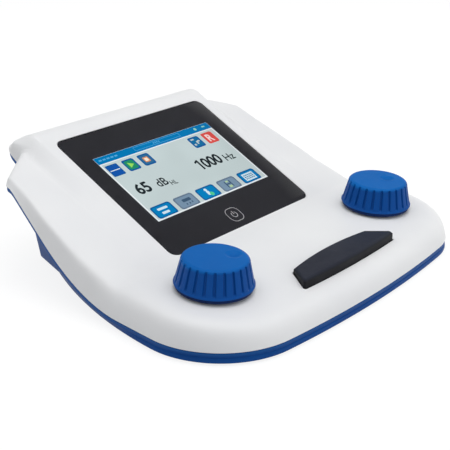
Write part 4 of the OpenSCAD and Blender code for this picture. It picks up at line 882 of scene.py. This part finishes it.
def plates(loops, z):
    """One flat face for each loop, at the height z over the glass's frame."""
    verts, faces = [], []
    for loop in loops:
        start = len(verts)
        verts += [(p[0], p[1], z) for p in loop]
        faces.append(tuple(range(start, start + len(loop))))
    return verts, faces


def on_panel(name, verts, faces):
    """Flat object in the glass's frame, which faces the viewer."""
    obj = new_object(name, place(PANEL, verts), faces, 30.0)
    up = PANEL.to_3x3() @ Vector((0, 0, 1))
    if sum(p.normal.dot(up) * p.area for p in obj.data.polygons) < 0:
        obj.data.flip_normals()
    return obj


def picture(name, loops, level, color, stands_for=()):
    """Flat pieces of the display's picture, one above another by level."""
    obj = on_panel(name, *plates(loops, UI_Z + UI_STEP * level))
    return dress(obj, glowing(name + "_light", srgb(*color)), stands_for=stands_for)


def letters(name, text, x, v, height, width, color, weight, bold, level=3):
    """Generic digits or a unit, set between x and x + width on the line v.

    weight swells the outlines, at a type size of 1, and bold shifts copies about, in mm.
    """
    curve = bpy.data.curves.new(name, "FONT")
    curve.body, curve.size, curve.offset = text, 1.0, weight
    obj = add_object(name, curve)
    bpy.context.view_layer.update()
    me = bpy.data.meshes.new_from_object(obj.evaluated_get(bpy.context.evaluated_depsgraph_get()))
    co = np.array([point.co for point in me.vertices])
    shapes = [tuple(p.vertices) for p in me.polygons]
    bpy.data.objects.remove(obj)
    lo, hi = co.min(0), co.max(0)
    px = x + bold + (co[:, 0] - lo[0]) / (hi[0] - lo[0]) * (width - 2 * bold)
    pv = v + bold + (co[:, 1] - lo[1]) / (hi[1] - lo[1]) * (height - 2 * bold)
    verts, faces = [], []
    for i, (a, b) in enumerate([(0, 0), (-1, 0), (1, 0), (0, -1), (0, 1)]):
        copy = np.column_stack([px + a * bold, pv + b * bold])
        verts.append(flat_ring(copy, UI_Z + UI_STEP * level - UI_OVERLAP * i))
        faces += [tuple(c + i * len(px) for c in f) for f in shapes]
    out = on_panel(name, np.concatenate(verts), faces)
    return dress(out, glowing(name + "_light", srgb(*color)))


# in the glass's frame: width, length and any corner radius, then the middle's x and v
LIT_TOP, LIT_LOW, LIT_X = LIT_UP + LIT_L / 2, LIT_UP - LIT_L / 2, LIT_W / 2
BAR_LOW, BORDER = 24.1, 0.9
FIELD_L, FIELD_V = BAR_LOW - LIT_LOW, (BAR_LOW + LIT_LOW) / 2
picture("lcd_back", [box_loop(WINDOW_W, WINDOW_L, 0, LIT_UP)], 0, (198, 212, 213),
        stands_for=("lcd_module",))
picture("lcd_border", [box_loop(BORDER, FIELD_L, -LIT_X + BORDER / 2, FIELD_V),
                       box_loop(BORDER, FIELD_L, LIT_X - BORDER / 2, FIELD_V),
                       box_loop(LIT_W - 2 * BORDER, BORDER, 0, LIT_LOW + BORDER / 2),
                       box_loop(LIT_W - 2 * BORDER, 0.7, 0, BAR_LOW - 0.35)],
        1, (236, 242, 246))
picture("lcd_bar", [box_loop(LIT_W, LIT_TOP - BAR_LOW, 0, (LIT_TOP + BAR_LOW) / 2)],
        1, (0, 122, 184))
marks = [box_loop(2.2, 1.1, -44.2 + 3.0 * i, 26.8) for i in range(5)]
marks += [box_loop(0.8, 1.1, -1.4 + 1.5 * i, 27.0) for i in range(4)]
marks += [box_loop(38.2, 0.25, 1.6, 28.3), box_loop(38.2, 0.25, 1.6, 25.6),
          box_loop(0.25, 2.7, -17.4, 26.95), box_loop(0.25, 2.7, 20.6, 26.95)]
picture("lcd_bar_marks", marks, 2, (86, 172, 222))
picture("lcd_bar_lamps", [circle(1.1, 24, 35.0, 26.9), box_loop(2.6, 1.0, 42.4, 27.0)],
        2, (150, 214, 196))

TOP_V, TOP_L = 17.35, 9.2
MENU_X, PLAY_X, STOP_X, TOOL_X, SIDE_X = -41.2, -28.8, -16.5, 26.6, 38.9
tiles = ((9.0, 0.8, MENU_X), (9.0, 1.4, PLAY_X), (9.0, 1.4, STOP_X), (9.2, 1.4, TOOL_X))
picture("lcd_tiles", [round_box(w, TOP_L, r, x, TOP_V) for w, r, x in tiles], 1, (18, 92, 156))
picture("lcd_tile_faces", [round_box(7.6, 3.6, 0.5, MENU_X, TOP_V + 2.2),
                           round_box(7.6, 3.6, 0.5, MENU_X, TOP_V - 2.2)], 2, (20, 84, 170))
picture("lcd_tile_line", [box_loop(7.2, 0.6, MENU_X, TOP_V)], 3, (222, 234, 244))
picture("lcd_play_face", [round_box(6.8, 7.0, 1.2, PLAY_X, TOP_V)], 2, (36, 142, 104))
picture("lcd_play", [np.array([[-30.4, TOP_V - 2.2], [-26.7, TOP_V], [-30.4, TOP_V + 2.2]])],
        3, (150, 222, 96))
picture("lcd_stop_face", [round_box(6.8, 7.0, 1.2, STOP_X, TOP_V)], 2, (52, 108, 150))
picture("lcd_stop_edge", [round_box(4.0, 4.0, 0.5, STOP_X, TOP_V)], 3, (226, 150, 96))
picture("lcd_stop", [round_box(2.5, 2.5, 0.3, STOP_X, TOP_V)], 4, (250, 232, 214))
picture("lcd_tool_face", [round_box(7.0, 7.0, 1.0, TOOL_X, TOP_V)], 2, (22, 110, 160))
picture("lcd_tool_marks", [box_loop(2.6, 1.1, 25.2, TOP_V + 2.6),
                           box_loop(1.6, 1.4, 24.2, TOP_V - 1.8),
                           box_loop(2.0, 1.2, 28.6, TOP_V + 0.4),
                           box_loop(1.2, 2.4, 27.0, TOP_V - 0.6)], 3, (196, 206, 206))
picture("lcd_side_tile", [round_box(9.3, 9.4, 1.2, SIDE_X, TOP_V)], 1, (222, 82, 76))
letters("lcd_side_mark", "R", 36.4, TOP_V - 3.1, 6.2, 4.6, (248, 220, 218), 0.02, 0.1, 2)

KEY_V, KEY_L = -19.1, 9.4
KEYS_X = (-37.8, -19.6, -1.2, 17.2, 35.6)
x0, x1, x2, x3, x4 = KEYS_X
blue_keys, grey_keys = (x0, x2, x4), (x1, x3)
picture("lcd_keys", [round_box(15.3, KEY_L, 1.8, x, KEY_V) for x in blue_keys], 1, (14, 98, 158))
picture("lcd_key_faces", [round_box(13.2, 7.4, 1.4, x, KEY_V) for x in blue_keys],
        2, (4, 128, 192))
picture("lcd_grey_keys", [round_box(15.3, KEY_L, 1.8, x, KEY_V) for x in grey_keys],
        1, (104, 124, 146))
picture("lcd_grey_faces", [round_box(13.2, 7.4, 1.4, x, KEY_V) for x in grey_keys],
        2, (122, 148, 172))
picture("lcd_key_marks", [round_box(7.6, 1.6, 0.5, x0, KEY_V + 1.6),
                          round_box(5.6, 1.6, 0.5, x0, KEY_V - 1.6),
                          circle(1.1, 24, x2 - 0.4, KEY_V + 2.2),
                          round_box(2.2, 3.4, 0.9, x2 - 0.2, KEY_V - 0.4),
                          round_box(9.6, 5.8, 0.4, x4, KEY_V - 0.2)], 3, (214, 234, 244))
picture("lcd_key_go", [circle(1.5, 28, x2 + 1.6, KEY_V - 1.7)], 4, (86, 204, 150))
grid = [box_loop(1.25, 0.85, x4 - 3.3 + 1.65 * i, KEY_V + 1.2 - 1.4 * j)
        for i in range(5) for j in range(3)]
picture("lcd_key_grid", grid, 4, (60, 128, 170))
picture("lcd_grey_marks", [round_box(6.6, 2.2, 0.4, x1 + 0.6, KEY_V + 0.9),
                           box_loop(0.9, 1.2, x1 - 1.4, KEY_V - 2.0),
                           box_loop(0.9, 1.2, x1 + 1.0, KEY_V - 2.0),
                           box_loop(0.9, 1.2, x1 + 3.2, KEY_V - 1.6),
                           box_loop(0.9, 5.0, x3 - 2.0, KEY_V),
                           box_loop(0.9, 5.0, x3 + 2.0, KEY_V),
                           box_loop(3.1, 0.9, x3, KEY_V + 0.2)], 3, (66, 92, 118))
picture("lcd_grey_light", [round_box(2.6, 1.7, 0.3, x3, KEY_V - 1.9),
                           round_box(2.0, 1.2, 0.2, x3, KEY_V + 2.1)], 3, (176, 206, 160))

DARK = (32, 42, 46)
letters("lcd_level", "65", -41.7, -4.5, 8.2, 10.2, DARK, 0.012, 0.2)
letters("lcd_level_unit", "dB", -26.2, -4.1, 6.0, 8.0, DARK, 0.004, 0.1)
letters("lcd_level_scale", "HL", -17.6, -5.7, 3.3, 5.0, (50, 62, 64), 0.0, 0.07)
letters("lcd_tone", "000", 14.7, -3.4, 8.3, 15.7, DARK, 0.012, 0.2)
digit_one = np.array([[12.0, -3.4], [13.5, -3.4], [13.5, 4.9], [12.4, 4.9], [10.2, 3.7],
                      [10.2, 2.3], [12.0, 3.2]])
picture("lcd_tone_first", [digit_one], 3, DARK)
letters("lcd_tone_unit", "Hz", 33.0, -3.6, 5.6, 8.2, (46, 58, 60), 0.002, 0.09)

SYMBOL = np.array([-0.2, -39.3])
FRAME_W, FRAME_L, FRAME_R, FRAME_LINE = 10.6, 10.3, 3.9, 0.42
ARC_OUT, ARC_IN = 2.2, 1.7


def build_symbol():
    """The standard on/off symbol in its ring, printed in light grey under the glass."""
    z = PRINT_Z + SYMBOL_LIFT
    frame_out = round_box(FRAME_W, FRAME_L, FRAME_R, *SYMBOL, steps=16)
    frame_in = round_box(FRAME_W - 2 * FRAME_LINE, FRAME_L - 2 * FRAME_LINE, FRAME_R - FRAME_LINE,
                         *SYMBOL, steps=16)
    t = np.radians(np.linspace(125, 415, 41))
    way = np.stack([np.cos(t), np.sin(t)], 1)
    arc = np.concatenate([SYMBOL + ARC_OUT * way, (SYMBOL + ARC_IN * way)[::-1]])
    bar = box_loop(0.55, 2.6, SYMBOL[0], SYMBOL[1] + 1.5)
    verts, faces = plates([arc, bar], z)
    n = len(frame_out)
    frame_faces = band(0, n, n) + [tuple(i + 2 * n for i in f) for f in faces]
    verts = np.concatenate([flat_ring(frame_out, z), flat_ring(frame_in, z), verts])
    return on_panel("power_symbol", verts, frame_faces)


dress(build_symbol(), LIGHT_PRINT)


# ---------------------------------------------------------------- floor, light, camera
def seen_share(tree):
    """1 for what the camera sees, straight, mirrored or through glass, and 0 for other light."""
    path = tree.nodes.new("ShaderNodeLightPath")
    total = path.outputs["Is Camera Ray"]
    for kind in ("Is Glossy Ray", "Is Transmission Ray"):
        node = tree.nodes.new("ShaderNodeMath")
        node.operation = "MAXIMUM"
        tree.links.new(total, node.inputs[0])
        tree.links.new(path.outputs[kind], node.inputs[1])
        total = node.outputs["Value"]
    return total


floor_mat = Nodes("floor_paint")
share = seen_share(floor_mat.tree)
tint = floor_mat.ramp(floor_mat.noise(3.0, 2.0), 0.3, 0.7, (0.59, 0.59, 0.59), (0.62, 0.62, 0.62))
# The floor is white where it is seen, with only a faint shadow, and grey where it throws light
# back on the object.
pale = floor_mat.tree.nodes.new("ShaderNodeMix")
pale.data_type = "RGBA"
pale.inputs["B"].default_value = (0.2, 0.2, 0.2, 1)
floor_mat.link(share, pale.inputs["Factor"])
floor_mat.link(tint, pale.inputs["A"])
floor_mat.feed(pale.outputs["Result"], "Base Color")
floor_mat.feed(floor_mat.ramp(share, 0.0, 1.0, 0.0, 0.84), "Emission Strength")
floor_mat.set(Roughness=0.9, Specular_IOR_Level=0.0, Emission_Color=(1.0, 1.0, 1.0))
FLOOR_HALF, FLOOR_DROP = 4, 0.0002
me = bpy.data.meshes.new("floor")
me.from_pydata([(i * FLOOR_HALF, j * FLOOR_HALF, -FLOOR_DROP)
                for i, j in ((-1, -1), (1, -1), (1, 1), (-1, 1))], [], [(0, 1, 2, 3)])
floor = add_object("floor", me)
me.materials.append(floor_mat.mat)


def area_light(name, where, size, power, mirrored=True):
    light = bpy.data.lights.new(name, "AREA")
    light.size, light.energy = size, power
    obj = add_object(name, light)
    obj.location = where
    obj.rotation_euler = (LIGHT_AIM - Vector(where)).to_track_quat("-Z", "Y").to_euler()
    obj.visible_glossy = mirrored


LIGHT_AIM = Vector((0, 0, 0.03))
area_light("key_light", (0.18, -0.25, 1.18), 0.9, 5.6, mirrored=False)
area_light("front_light", (0.3, -1.15, 0.4), 0.8, 1.6, mirrored=False)
area_light("top_light", (-0.25, 0.3, 1.3), 1.0, 3.0)

world = bpy.data.worlds.new("studio")
bpy.context.scene.world = world
world.use_nodes = True
tree = world.node_tree
for node in list(tree.nodes):
    tree.nodes.remove(node)
out = tree.nodes.new("ShaderNodeOutputWorld")
mix = tree.nodes.new("ShaderNodeMixShader")
dim = tree.nodes.new("ShaderNodeBackground")
seen = tree.nodes.new("ShaderNodeBackground")
dim.inputs["Color"].default_value = (0.98, 0.99, 1.0, 1)
dim.inputs["Strength"].default_value = 0.57
# the backdrop is pale up to about 15 degrees above the horizon and darkens towards the ceiling
coord = tree.nodes.new("ShaderNodeTexCoord")
split = tree.nodes.new("ShaderNodeSeparateXYZ")
fade = tree.nodes.new("ShaderNodeMapRange")
for key, value in (("From Min", 0.25), ("From Max", 0.42), ("To Min", 1.0), ("To Max", 0.06)):
    fade.inputs[key].default_value = value
tree.links.new(coord.outputs["Generated"], split.inputs["Vector"])
tree.links.new(split.outputs["Z"], fade.inputs["Value"])
tree.links.new(fade.outputs["Result"], seen.inputs["Strength"])
tree.links.new(seen_share(tree), mix.inputs["Fac"])
tree.links.new(dim.outputs["Background"], mix.inputs[1])
tree.links.new(seen.outputs["Background"], mix.inputs[2])
tree.links.new(mix.outputs["Shader"], out.inputs["Surface"])

CAMERA_AT, CAMERA_AZ, CAMERA_EL = (-0.42184, -0.34274, 0.23151), -50.7, 21.43
cam = bpy.data.cameras.new("camera")
cam.lens, cam.sensor_width, cam.clip_start = 83.40, 36.0, 0.01
camera = add_object("camera", cam)
az, el = math.radians(CAMERA_AZ), math.radians(CAMERA_EL)
back = Vector((math.sin(az) * math.cos(el), -math.cos(az) * math.cos(el), math.sin(el)))
camera.location = CAMERA_AT
camera.rotation_euler = back.to_track_quat("Z", "Y").to_euler()
bpy.context.scene.camera = camera
bpy.context.scene.view_settings.view_transform = "Standard"
